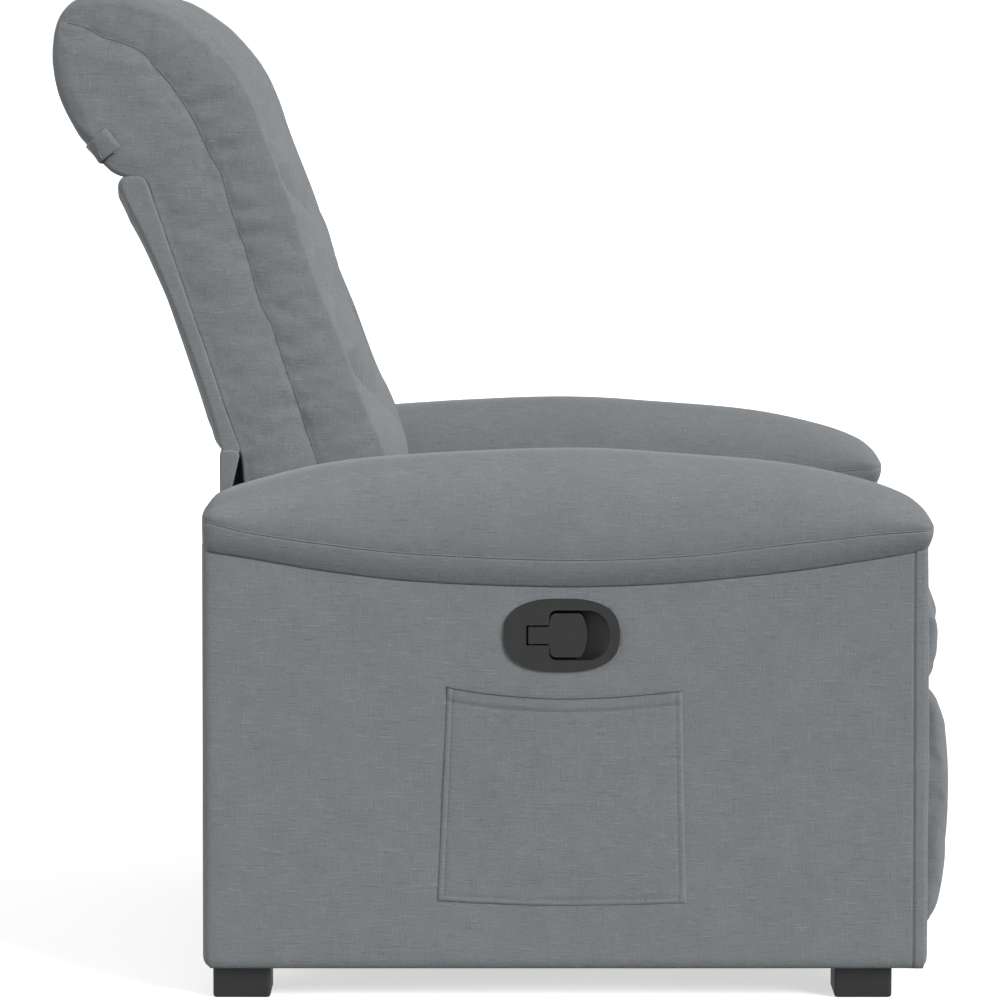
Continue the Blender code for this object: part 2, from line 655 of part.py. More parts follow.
# ---------------------------------------------------------------- assembly
def main():
    pivot = RECLINE_PIVOT
    bodies = {"rear_links": pivot_empty("rear_links_pivot", *yz(P0)),
              "front_links": pivot_empty("front_links_pivot", *yz(Q0)),
              "couplers": pivot_empty("couplers_pivot", *yz(P1)),
              "drag_links": pivot_empty("drag_links_pivot", *yz(R1)),
              "footrest": pivot_empty("footrest_pivot", *yz(P2))}
    seat = pivot_empty("seat_slide", 0.0, SEAT_FRAME_Z[0])
    back = pivot_empty("recline_pivot", *pivot)
    lever = pivot_empty("latch_pivot", LATCH_PIN[1], LATCH[1], LATCH_PIN[0])
    for word, side in SIDES.items():
        build_arm(word, side)
        build_base(word, side)
    build_cross_rails()
    build_latch(lever)
    build_cable()
    build_pocket()
    build_seat(seat)
    build_linkage(bodies)
    build_back(back)


main()
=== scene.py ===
"""Looks of the recliner armchair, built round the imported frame. The chair faces -Y, its latch is on -X."""

import math

import bmesh
import bpy
import numpy as np
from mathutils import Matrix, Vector, noise
from mathutils.bvhtree import BVHTree


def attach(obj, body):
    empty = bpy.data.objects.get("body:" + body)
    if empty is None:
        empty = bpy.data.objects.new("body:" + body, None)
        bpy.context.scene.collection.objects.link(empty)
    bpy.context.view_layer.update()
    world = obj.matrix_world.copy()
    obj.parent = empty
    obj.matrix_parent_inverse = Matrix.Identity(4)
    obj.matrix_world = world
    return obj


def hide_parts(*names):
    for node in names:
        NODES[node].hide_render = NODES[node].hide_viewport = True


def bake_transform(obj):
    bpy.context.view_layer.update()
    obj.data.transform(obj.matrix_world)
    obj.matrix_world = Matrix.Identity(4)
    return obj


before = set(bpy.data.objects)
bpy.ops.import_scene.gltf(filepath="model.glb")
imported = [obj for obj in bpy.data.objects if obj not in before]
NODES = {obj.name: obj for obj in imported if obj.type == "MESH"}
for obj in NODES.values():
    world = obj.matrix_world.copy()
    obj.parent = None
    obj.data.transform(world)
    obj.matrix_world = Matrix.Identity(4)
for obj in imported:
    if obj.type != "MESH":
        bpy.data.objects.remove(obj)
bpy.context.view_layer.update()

SIDES = {"right": -1, "left": 1}
CAMERA_PLACE, CAMERA_TARGET = (-5.0, 0.0, 0.984), (0.0, 0.0, 0.469)
LENS = 168.0
SKY_ABOVE, SKY_BELOW = 0.4, 0.14
FLOOR_GLOW = 0.6                 # keeps the floor white under the chair's soft shadow
# Suns: direction they shine from, power, softness in degrees
KEY_SUN = ((-0.57, -0.69, 0.44), 3.0, 26.0)
RIM_SUN = ((-0.22, 0.93, 0.3), 1.0, 35.0)


# ================================================================ camera, floor and light
def aim(obj, place, target):
    obj.location = place
    obj.rotation_euler = (Vector(target) - Vector(place)).to_track_quat("-Z", "Y").to_euler()


def add_camera():
    data = bpy.data.cameras.new("camera")
    data.sensor_width = 36.0
    data.lens = LENS
    data.clip_end = 100.0
    camera = bpy.data.objects.new("camera", data)
    bpy.context.scene.collection.objects.link(camera)
    aim(camera, CAMERA_PLACE, CAMERA_TARGET)
    bpy.context.scene.camera = camera


def add_sun(name, towards, power, softness):
    """Distant soft light that shines from the direction towards."""
    data = bpy.data.lights.new(name, "SUN")
    data.energy = power
    data.angle = math.radians(softness)
    light = bpy.data.objects.new(name, data)
    bpy.context.scene.collection.objects.link(light)
    aim(light, Vector(towards) * 5.0, (0.0, 0.0, 0.0))


def add_sky():
    """White at the horizon, dimmer overhead, dim below, so that the floor runs into it without an edge."""
    world = bpy.data.worlds.new("studio")
    world.use_nodes = True
    tree = world.node_tree
    split = tree.nodes.new("ShaderNodeSeparateXYZ")
    tree.links.new(tree.nodes.new("ShaderNodeTexCoord").outputs["Generated"], split.inputs["Vector"])
    raised = tree.nodes.new("ShaderNodeMath")
    raised.operation = "MULTIPLY_ADD"
    raised.inputs[1].default_value = 0.5
    raised.inputs[2].default_value = 0.5
    tree.links.new(split.outputs["Z"], raised.inputs[0])
    ramp = tree.nodes.new("ShaderNodeValToRGB")
    stops = [(0.0, SKY_BELOW), (0.47, SKY_BELOW), (0.485, 1.0), (0.53, 1.0), (0.6, SKY_ABOVE),
             (1.0, SKY_ABOVE)]
    elements = ramp.color_ramp.elements
    while len(elements) < len(stops):
        elements.new(0.5)
    for element, (place, tone) in zip(elements, stops):
        element.position = place
        element.color = (tone, tone, tone, 1.0)
    tree.links.new(raised.outputs["Value"], ramp.inputs["Fac"])
    tree.links.new(ramp.outputs["Color"], tree.nodes["Background"].inputs["Color"])
    bpy.context.scene.world = world


def add_studio():
    bpy.context.scene.view_settings.view_transform = "Standard"
    add_sky()
    bpy.ops.mesh.primitive_plane_add(size=2000.0, location=(0.0, 0.0, 0.0))
    floor = bpy.context.active_object
    floor.name = "floor"
    paint = plain("floor_paint", (0.87, 0.87, 0.87), 0.9)
    shader = paint.node_tree.nodes["Principled BSDF"]
    shader.inputs["Emission Color"].default_value = (1.0, 1.0, 1.0, 1.0)
    shader.inputs["Emission Strength"].default_value = FLOOR_GLOW
    floor.data.materials.append(paint)
    floor.visible_diffuse = False
    add_sun("key", *KEY_SUN)
    add_sun("rim", *RIM_SUN)


# ================================================================ materials
class Nodes:
    """Short calls that add nodes to a material's tree."""

    def __init__(self, name):
        self.material = bpy.data.materials.new(name)
        self.material.use_nodes = True
        self.tree = self.material.node_tree
        self.shader = self.tree.nodes["Principled BSDF"]

    def add(self, kind, **values):
        node = self.tree.nodes.new(kind)
        for key, value in values.items():
            setattr(node, key, value)
        return node

    def link(self, source, target):
        self.tree.links.new(source, target)

    def coords(self, scale=(1.0, 1.0, 1.0)):
        """Object coordinates in metres, stretched by scale."""
        mapping = self.add("ShaderNodeMapping")
        mapping.inputs["Scale"].default_value = scale
        self.link(self.add("ShaderNodeTexCoord").outputs["Object"], mapping.inputs["Vector"])
        return mapping.outputs["Vector"]

    def noise(self, scale, stretch=(1.0, 1.0, 1.0), detail=2.0, roughness=0.5):
        node = self.add("ShaderNodeTexNoise")
        node.inputs["Scale"].default_value = scale
        node.inputs["Detail"].default_value = detail
        node.inputs["Roughness"].default_value = roughness
        self.link(self.coords(stretch), node.inputs["Vector"])
        return node.outputs["Fac"]

    def math(self, operation, a, b=0.0, clamp=False):
        node = self.add("ShaderNodeMath", operation=operation, use_clamp=clamp)
        for socket, value in zip(node.inputs, (a, b)):
            if isinstance(value, (int, float)):
                socket.default_value = value
            else:
                self.link(value, socket)
        return node.outputs["Value"]

    def ramp(self, factor, stops):
        node = self.add("ShaderNodeValToRGB")
        elements = node.color_ramp.elements
        while len(elements) < len(stops):
            elements.new(0.5)
        for element, (place, colour) in zip(elements, stops):
            element.position = place
            element.color = (*colour, 1.0)
        self.link(factor, node.inputs["Fac"])
        return node.outputs["Color"]

    def bump(self, height, strength, distance):
        node = self.add("ShaderNodeBump")
        node.inputs["Strength"].default_value = strength
        node.inputs["Distance"].default_value = distance
        self.link(height, node.inputs["Height"])
        self.link(node.outputs["Normal"], self.shader.inputs["Normal"])

    def set(self, **values):
        for key, value in values.items():
            self.shader.inputs[key.replace("_", " ")].default_value = value


def plain(name, colour, roughness):
    """Painted surface with a little unevenness in its tone."""
    n = Nodes(name)
    tone = n.noise(3.0, detail=1.0)
    lighter = tuple(min(1.0, c * 1.01) for c in colour)
    n.link(n.ramp(tone, [(0.3, colour), (0.7, lighter)]), n.shader.inputs["Base Color"])
    n.set(Roughness=roughness)
    return n.material


THREAD = 600.0          # noise cells per metre across a slub
SLUB = 0.15             # how much slower the noise changes along a slub
WEAVE = 9000.0          # radians per metre across the plain weave
# Cloudiness from broad to fine: noise cells per metre, detail, share of the tone
BLOTCHES = ((22.0, 3.0, 0.2), (95.0, 2.0, 0.18), (1900.0, 0.0, 0.1))


def fabric(name, dark, light, tone=1.0):
    """Melange upholstery cloth: level and upright slubs, soft blotches and a fine plain weave."""
    n = Nodes(name)
    threads = None
    slubs = None
    for share, stretch in ((1.0, (SLUB, 1, 1)), (1.0, (1, SLUB, 1)), (0.55, (1, 1, SLUB))):
        thread = n.math("MULTIPLY", n.noise(THREAD, stretch, detail=1.0), share)
        threads = thread if threads is None else n.math("ADD", threads, thread)
        coarse = n.noise(THREAD * 0.9, tuple(0.8 * c if c == SLUB else c for c in stretch), detail=0.0)
        pale = n.math("MULTIPLY", n.math("SUBTRACT", coarse, 0.63), 3.2 * share, True)
        deep = n.math("MULTIPLY", n.math("SUBTRACT", 0.36, coarse), 2.8 * share, True)
        slub = n.math("SUBTRACT", pale, deep)
        slubs = slub if slubs is None else n.math("ADD", slubs, slub)
    total = n.math("MULTIPLY", threads, 0.05)
    for cells, detail, share in BLOTCHES:
        total = n.math("ADD", total, n.math("MULTIPLY", n.noise(cells, detail=detail), share))
    total = n.math("ADD", total, n.math("MULTIPLY", slubs, 0.2))
    total = n.math("ADD", total, 0.19)
    dark = tuple(c * tone for c in dark)
    light = tuple(c * tone for c in light)
    n.link(n.ramp(total, [(0.25, dark), (0.75, light)]), n.shader.inputs["Base Color"])

    weave = None
    for axis in "XYZ":
        split = n.add("ShaderNodeSeparateXYZ")
        n.link(n.coords((WEAVE, WEAVE, WEAVE)), split.inputs["Vector"])
        wave = n.math("SINE", split.outputs[axis])
        weave = wave if weave is None else n.math("ADD", weave, wave)
    height = n.math("ADD", n.math("MULTIPLY", weave, 0.05), n.math("MULTIPLY", threads, 0.2))
    height = n.math("ADD", height, n.math("MULTIPLY", slubs, 1.0))
    n.bump(height, 0.34, 0.0008)
    n.set(Roughness=0.93, Sheen_Weight=0.2, Sheen_Roughness=0.45, Specular_IOR_Level=0.2)
    return n.material


def hard_finish(name, colour, gain, cells, full, rough, grain, **values):
    """Mottled plastic or enamel: roughness is (spread, base) and grain is (cells, strength, depth)."""
    n = Nodes(name)
    relief = n.noise(grain[0], detail=2.0)
    tone = n.noise(cells, detail=3.0)
    lighter = tuple(c * gain for c in colour)
    n.link(n.ramp(tone, [(0.35, colour), (full, lighter)]), n.shader.inputs["Base Color"])
    n.link(n.math("ADD", n.math("MULTIPLY", tone, rough[0]), rough[1]), n.shader.inputs["Roughness"])
    n.bump(relief, grain[1], grain[2])
    n.set(**values)
    return n.material


def moulded_plastic(name, colour, roughness):
    return hard_finish(name, colour, 1.25, 45.0, 0.7, (0.12, roughness - 0.06), (2600.0, 0.35, 0.0002),
                       Specular_IOR_Level=0.35)


def enamel_steel(name, colour):
    return hard_finish(name, colour, 1.5, 30.0, 0.75, (0.2, 0.32), (420.0, 0.2, 0.0003), Metallic=0.2)


def sawn_pine(name):
    n = Nodes(name)
    rings = n.add("ShaderNodeTexWave", wave_type="RINGS", rings_direction="X")
    rings.inputs["Scale"].default_value = 9.0
    rings.inputs["Distortion"].default_value = 6.0
    rings.inputs["Detail"].default_value = 3.0
    rings.inputs["Detail Scale"].default_value = 1.4
    n.link(n.coords((0.06, 1.0, 4.0)), rings.inputs["Vector"])
    fibre = n.noise(260.0, (0.06, 1, 1), detail=4.0)
    mixed = n.math("ADD", n.math("MULTIPLY", rings.outputs["Fac"], 0.6), n.math("MULTIPLY", fibre, 0.4))
    colours = [(0.15, (0.36, 0.22, 0.11)), (0.5, (0.56, 0.39, 0.22)), (0.85, (0.68, 0.51, 0.31))]
    n.link(n.ramp(mixed, colours), n.shader.inputs["Base Color"])
    n.bump(fibre, 0.4, 0.0006)
    n.set(Roughness=0.75)
    return n.material


CLOTH_DARK = (0.148, 0.16, 0.168)
CLOTH_LIGHT = (0.232, 0.246, 0.255)
GREY = fabric("grey_melange", CLOTH_DARK, CLOTH_LIGHT)
GREY_SEAM = fabric("seam_cloth", CLOTH_DARK, CLOTH_LIGHT, 0.84)
THREAD_LOOK = fabric("sewing_thread", CLOTH_DARK, CLOTH_LIGHT, 0.78)
# Cloth at half tone for a cord along the pocket's mouth: painted shade standing for the shadow line above
# the hem
POCKET_MOUTH_SHADE_LOOK = fabric("crease", CLOTH_DARK, CLOTH_LIGHT, 0.5)
# Near-black cloth for a cord under the strap's lower edge: painted shadow of the gap there
STRAP_SHADOW_LOOK = fabric("strap_painted_shadow", CLOTH_DARK, CLOTH_LIGHT, 0.2)
LATCH_PLASTIC = moulded_plastic("latch_plastic", (0.0129, 0.0131, 0.0134), 0.55)
FOOT_PLASTIC = moulded_plastic("foot_plastic", (0.0098, 0.0098, 0.01), 0.6)
SHEATH = moulded_plastic("cable_sheath", (0.02, 0.02, 0.02), 0.4)
ENAMEL = enamel_steel("black_enamel", (0.018, 0.018, 0.019))
PINE = sawn_pine("sawn_pine")


# ================================================================ mesh helpers
def new_object(name, vertices, faces, look):
    mesh = bpy.data.meshes.new(name)
    mesh.from_pydata([tuple(v) for v in vertices], [], faces)
    mesh.shade_smooth()
    mesh.materials.append(look)
    obj = bpy.data.objects.new(name, mesh)
    bpy.context.scene.collection.objects.link(obj)
    return obj


def smooth_line(points, count, closed=False):
    """Catmull-Rom curve through points, as count points evenly spaced along it."""
    p = np.array(points, float)
    n = len(p)
    dense = []
    for i in range(n if closed else n - 1):
        if closed:
            a, b, c, d = p[i - 1], p[i], p[(i + 1) % n], p[(i + 2) % n]
        else:
            a, b, c, d = p[max(i - 1, 0)], p[i], p[i + 1], p[min(i + 2, n - 1)]
        for t in np.linspace(0, 1, 24, endpoint=False):
            dense.append(0.5 * (2 * b + (c - a) * t + (2 * a - 5 * b + 4 * c - d) * t**2
                                + (3 * b - a - 3 * c + d) * t**3))
    dense.append(p[0] if closed else p[-1])
    dense = np.array(dense)
    step = np.linalg.norm(np.diff(dense, axis=0), axis=1)
    along = np.concatenate([[0.0], np.cumsum(step)])
    places = np.linspace(0.0, along[-1], count, endpoint=not closed)
    return np.stack([np.interp(places, along, dense[:, k]) for k in range(p.shape[1])], axis=1)


def ring_faces(rings, count, base=0):
    """Faces between neighbouring closed rings of count points each, numbered from base."""
    faces = []
    for low in range(base, base + (rings - 1) * count, count):
        for i in range(count):
            j = (i + 1) % count
            faces.append((low + i, low + j, low + count + j, low + count + i))
    return faces


def loft(name, rings, look):
    """Surface through closed rings of equally many points, with its ends closed."""
    count = len(rings[0])
    vertices = [point for ring in rings for point in ring]
    faces = ring_faces(len(rings), count)
    faces.append(tuple(reversed(range(count))))
    faces.append(tuple((len(rings) - 1) * count + i for i in range(count)))
    obj = new_object(name, vertices, faces, look)
    fix_normals(obj)
    return obj


def fix_normals(obj):
    work = bmesh.new()
    work.from_mesh(obj.data)
    bmesh.ops.recalc_face_normals(work, faces=work.faces)
    work.to_mesh(obj.data)
    work.free()


def bake(obj):
    """Replace an object's mesh by what its modifiers make of it."""
    bpy.context.view_layer.update()
    evaluated = obj.evaluated_get(bpy.context.evaluated_depsgraph_get())
    mesh = bpy.data.meshes.new_from_object(evaluated)
    obj.modifiers.clear()
    obj.data = mesh
    return obj


def rounded_prism(name, outline, half_width, radius, look, voxel=None):
    """A (y, z) outline as a solid across the chair, its rim rounded, remeshed evenly if voxel is given."""
    curve = bpy.data.curves.new(name, "CURVE")
    curve.dimensions = "2D"
    curve.fill_mode = "BOTH"
    curve.bevel_depth = radius
    curve.bevel_resolution = 3
    curve.extrude = half_width - radius
    curve.offset = -radius
    spline = curve.splines.new("POLY")
    spline.points.add(len(outline) - 1)
    for point, (y, z) in zip(spline.points, outline):
        point.co = (y, z, 0.0, 1.0)
    spline.use_cyclic_u = True
    made = bpy.data.objects.new(name + "_outline", curve)
    made.rotation_euler = (math.pi / 2, 0.0, math.pi / 2)
    bpy.context.scene.collection.objects.link(made)
    bpy.context.view_layer.update()
    mesh = bpy.data.meshes.new_from_object(made.evaluated_get(bpy.context.evaluated_depsgraph_get()))
    mesh.transform(made.matrix_world)
    bpy.data.objects.remove(made, do_unlink=True)
    obj = bpy.data.objects.new(name, mesh)
    bpy.context.scene.collection.objects.link(obj)
    weld = obj.modifiers.new("weld", "WELD")
    weld.merge_threshold = 0.00005
    if voxel:
        remesh = obj.modifiers.new("remesh", "REMESH")
        remesh.mode = "VOXEL"
        remesh.voxel_size = voxel
    bake(obj)
    obj.data.materials.clear()
    obj.data.materials.append(look)
    obj.data.shade_smooth()
    return obj


def points_of(obj, what="co"):
    values = np.empty(len(obj.data.vertices) * 3)
    obj.data.vertices.foreach_get(what, values)
    return values.reshape(-1, 3)


def normals_of(obj):
    return points_of(obj, "normal")


def set_points(obj, co):
    obj.data.vertices.foreach_set("co", co.ravel())
    obj.data.update()


CLOTH = {"quality": 4, "mass": 0.25, "tension_stiffness": 12.0, "compression_stiffness": 12.0,
         "shear_stiffness": 5.0, "bending_stiffness": 0.4, "air_damping": 2.0, "use_pressure": True,
         "vertex_group_mass": "pinned", "pin_stiffness": 2.0}


def inflate(obj, pinned, pressure, cap, frames=20, slack=0.0):
    """Cloth simulation: pressure swells the free parts, and no point moves further than cap."""
    rest = points_of(obj)
    group = obj.vertex_groups.new(name="pinned")
    for weight in np.unique(pinned[pinned > 0]):
        group.add([int(i) for i in np.nonzero(pinned == weight)[0]], float(weight), "REPLACE")
    cloth = obj.modifiers.new("cloth", "CLOTH")
    settings = cloth.settings
    for key, value in CLOTH.items():
        setattr(settings, key, value)
    settings.uniform_pressure_force = pressure
    settings.shrink_min = -slack
    settings.effector_weights.gravity = 0.0
    cloth.collision_settings.use_collision = False
    cloth.point_cache.frame_end = frames
    scene = bpy.context.scene
    for number in range(1, frames + 1):
        scene.frame_set(number)
    depsgraph = bpy.context.evaluated_depsgraph_get()
    moved = points_of(obj.evaluated_get(depsgraph))
    obj.modifiers.clear()
    obj.vertex_groups.clear()
    scene.frame_set(1)
    shift = moved - rest
    far = np.linalg.norm(shift, axis=1)
    share = np.minimum(1.0, cap / np.maximum(far, 1e-9))
    set_points(obj, rest + shift * share[:, None])


def subdivide(obj, levels=1):
    modifier = obj.modifiers.new("subdivide", "SUBSURF")
    modifier.levels = levels
    modifier.render_levels = levels
    bake(obj)
    obj.data.shade_smooth()


def distance_to_line(points, line):
    """Distance from each 2D point to a polyline, and where along the polyline it is nearest."""
    best = np.full(len(points), 1e9)
    place = np.zeros(len(points))
    run = 0.0
    for a, b in zip(line[:-1], line[1:]):
        d = b - a
        length = np.linalg.norm(d)
        t = np.clip(((points - a) @ d) / length**2, 0.0, 1.0)
        gap = np.linalg.norm(points - (a + t[:, None] * d), axis=1)
        nearer = gap < best
        best = np.where(nearer, gap, best)
        place = np.where(nearer, run + t * length, place)
        run += length
    return best, place


def surface_of(obj):
    """Tree that finds places on an object's surface."""
    work = bmesh.new()
    work.from_mesh(obj.data)
    tree = BVHTree.FromBMesh(work)
    work.free()
    return tree


def ripple(co, scale, seed):
    """Smooth noise from -1 to 1 at each point."""
    offset = Vector((seed * 7.3, seed * 3.1, seed * 5.7))
    return np.array([noise.noise(Vector(p) * scale + offset) for p in co])


def cord_line(name, points, radius, look, closed=False, body=None, sides=2):
    """Thin round cord, such as piping, a seam's thread or a dark line of painted shade, along a line."""
    curve = bpy.data.curves.new(name, "CURVE")
    curve.dimensions = "3D"
    curve.bevel_depth = radius
    curve.bevel_resolution = sides
    curve.use_fill_caps = True
    spline = curve.splines.new("POLY")
    spline.points.add(len(points) - 1)
    for point, place in zip(spline.points, points):
        point.co = (*place, 1.0)
    spline.use_cyclic_u = closed
    curve.materials.append(look)
    obj = bpy.data.objects.new(name, curve)
    bpy.context.scene.collection.objects.link(obj)
    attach(obj, body)
    return obj


def stitches(name, lines, look, body, pitch=0.0042, radius=0.00032):
    """Rows of short stitches that lie along lines of (point, outward normal)."""
    vertices, faces = [], []
    for line in lines:
        points = np.array([p for p, _ in line], float)
        outward = np.array([q for _, q in line], float)
        step = np.linalg.norm(np.diff(points, axis=0), axis=1)
        along = np.concatenate([[0.0], np.cumsum(step)])
        start = pitch * 0.5
        while start + pitch * 0.7 < along[-1]:
            ends = []
            for place in (start, start + pitch * 0.35, start + pitch * 0.7):
                ends.append([np.array([np.interp(place, along, arr[:, k]) for k in range(3)])
                             for arr in (points, outward)])
            base = len(vertices)
            for number, (p, q) in enumerate(ends):
                q = q / np.linalg.norm(q)
                tangent = ends[-1][0] - ends[0][0]
                across = np.cross(tangent / np.linalg.norm(tangent), q)
                lift = radius * (1.0 if number == 1 else 0.1)
                wide = radius * (1.0 if number == 1 else 0.6)
                for k in range(6):
                    angle = math.pi * k / 3
                    vertices.append(p + q * lift + wide * (across * math.cos(angle) + q * math.sin(angle)))
            faces += ring_faces(3, 6, base)
            faces.append(tuple(base + k for k in range(5, -1, -1)))
            faces.append(tuple(base + 12 + k for k in range(6)))
            start += pitch
    obj = new_object(name, vertices, faces, look)
    fix_normals(obj)
    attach(obj, body)
    return obj


def dress(obj, body, slot, *replaced):
    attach(obj, body)
    if replaced:
        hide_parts(*replaced)
    return obj


# ================================================================ arms
ARM_INNER, ARM_OUTER = 0.262, 0.373
ARM_FRONT, ARM_REAR, ARM_BOTTOM = -0.4276, 0.298, 0.04
SEAM_Y = -0.4141                  # upright seam between a side panel and the front strip
# Rows along an arm, rear to front: y, underside of the band, seam above the band, top of the pad
ARM_ROWS = np.array([
    (0.298, 0.4565, 0.488, 0.493),
    (0.286, 0.4546, 0.4848, 0.507),
    (0.252, 0.4494, 0.4762, 0.5205),
    (0.18, 0.4368, 0.465, 0.538),
    (0.09, 0.4262, 0.455, 0.5482),
    (-0.06, 0.42, 0.4485, 0.5546),
    (-0.18, 0.424, 0.452, 0.5492),
    (-0.29, 0.4355, 0.4645, 0.5385),
    (-0.37, 0.4472, 0.4735, 0.5215),
    (-0.41, 0.454, 0.4768, 0.5062),
    (-0.428, 0.457, 0.4779, 0.492),
    (-0.4335, 0.458, 0.4785, 0.483),
])


def arm_row(y):
    """Band underside, seam and pad top at y, smooth through ARM_ROWS."""
    rows = ARM_ROWS
    i = 0
    while i < len(rows) - 2 and y < rows[i + 1][0]:
        i += 1
    a, b = rows[i], rows[i + 1]
    before, after = rows[max(i - 1, 0)], rows[min(i + 2, len(rows) - 1)]
    span = b[0] - a[0]
    t = (y - a[0]) / span
    slope_a = (b - before) / (b[0] - before[0]) * span
    slope_b = (after - a) / (after[0] - a[0]) * span
    value = ((2 * t**3 - 3 * t**2 + 1) * a + (t**3 - 2 * t**2 + t) * slope_a
             + (3 * t**2 - 2 * t**3) * b + (t**3 - t**2) * slope_b)
    return value[1:]


def spread(start, end, step, dense=()):
    """Places from start to end, about step apart, with extra ones close to each dense place."""
    count = max(2, int(abs(end - start) / step) + 1)
    places = list(np.linspace(start, end, count))
    low, high = min(start, end), max(start, end)
    for centre in dense:
        near = [centre + k * 0.0012 for k in range(-4, 5)]
        places = [p for p in places if abs(p - centre) > 0.0058] + [p for p in near if low < p < high]
    return sorted(places, reverse=end < start)


def arm_perimeter():
    """Plan of an arm's cover: (x, y, outward x, outward y), anticlockwise from the outer face's rear."""
    r, rear_r = 0.0045, 0.011
    runs = []
    x0, x1, y0, y1 = ARM_INNER, ARM_OUTER, ARM_FRONT, ARM_REAR

    def corner(cx, cy, first, radius=r):
        for k in range(7):
            a = math.radians(first - 15 * k)
            runs.append((cx + radius * math.cos(a), cy + radius * math.sin(a), math.cos(a), math.sin(a)))

    for y in spread(y1 - rear_r, y0 + r, 0.01, (SEAM_Y,))[1:-1]:
        runs.append((x1, y, 1.0, 0.0))
    corner(x1 - r, y0 + r, 0)
    for x in spread(x1 - r, x0 + r, 0.01)[1:-1]:
        runs.append((x, y0, 0.0, -1.0))
    corner(x0 + r, y0 + r, -90)
    for y in spread(y0 + r, y1 - r, 0.016)[1:-1]:
        runs.append((x0, y, -1.0, 0.0))
    corner(x0 + r, y1 - r, 180)
    for x in spread(x0 + r, x1 - rear_r, 0.012)[1:-1]:
        runs.append((x, y1, 0.0, 1.0))
    corner(x1 - rear_r, y1 - rear_r, 90, rear_r)
    return runs


def settle(co):
    """Cloth parts hang up to 8 mm lower, and flare a little, towards the floor."""
    low = np.clip((0.5 - co[:, 2]) / 0.46, 0, 1)
    out = co.copy()
    out[:, 1] *= 1.0 + 0.006 * low
    out[:, 2] -= 0.0079 * low**1.5
    return out


def seam_dip(distance, half_width):
    """1 on a seam's line, easing to 0 at half_width from it."""
    return max(0.0, 1.0 - abs(distance) / half_width) ** 2


def arm_cover(word, side):
    """Upholstered box of an arm, open to the band above, with its seams pulled in."""
    perimeter = arm_perimeter()
    heights = [0.0, 0.0008, 0.002, 0.0042, 0.0075, 0.0115]
    rings = []
    rows = 46
    turn = 0.0115
    for k in range(rows + len(heights)):
        ring = []
        for x, y, nx, ny in perimeter:
            top = arm_row(min(max(y, -0.4276), 0.2975))[0] + 0.006
            if k < len(heights):
                z = ARM_BOTTOM + heights[k]
                inset = turn * (1.0 - math.sqrt(max(0.0, 1.0 - (1.0 - heights[k] / turn) ** 2)))
            else:
                z = ARM_BOTTOM + turn + (top - ARM_BOTTOM - turn) * (k - len(heights) + 1) / rows
                inset = 0.0
            inset *= 0.9 if abs(ny) > 0.5 else 0.45
            swell = 0.0
            if nx > 0.9 and y > SEAM_Y:
                across = (y - SEAM_Y) / (ARM_REAR - SEAM_Y)
                up = (z - ARM_BOTTOM) / (top - ARM_BOTTOM)
                swell = 0.0016 * (4 * across * (1 - across)) ** 0.35 * (4 * up * (1 - up) + 0.01) ** 0.3
                swell -= 0.0008
                place = Vector((side * x * 3, y * 7, z * 7))
                swell += 0.0007 * noise.noise(place) + 0.00035 * noise.noise(place * 3.1)
                crease = noise.noise(Vector((side * 2.0, y * 9.0, z * 38.0)))
                swell -= 0.0006 * max(0.0, crease - 0.12) * math.exp(-((top - z) / 0.05) ** 2)
            if nx > 0.9:
                swell -= 0.0014 * seam_dip(y - SEAM_Y, 0.0026)
                if y < SEAM_Y:
                    swell += 0.0005
            if ny < -0.5:
                swell += 0.0012 * math.sin(math.pi * (z - ARM_BOTTOM) / (top - ARM_BOTTOM))
                swell += 0.0006 * noise.noise(Vector((x * 14, 3.0 + side, z * 9)))
            ring.append((side * (x + nx * (swell - inset)), y + ny * (swell - inset), z))
        rings.append(ring)
    cover = loft(f"{word}_arm_cover", rings, GREY)
    set_points(cover, settle(points_of(cover)))
    replaced = [f"{word}_arm_{part}_panel" for part in ("outer", "inner", "front", "rear")]
    return cover, replaced


CAP_FRONT, CAP_REAR = -0.433, 0.2975
CAP_INNER, CAP_OUTER = 0.261, 0.3835
CAP_CORNER = 0.014
PIPING = 0.0007


def tuck_in(y, corner):
    """How far a cap's side is drawn in at y by its rounded plan corner."""
    near_end = max(0.0, corner - min(y - CAP_FRONT, CAP_REAR - y))
    return corner - math.sqrt(max(0.0, corner**2 - near_end**2))


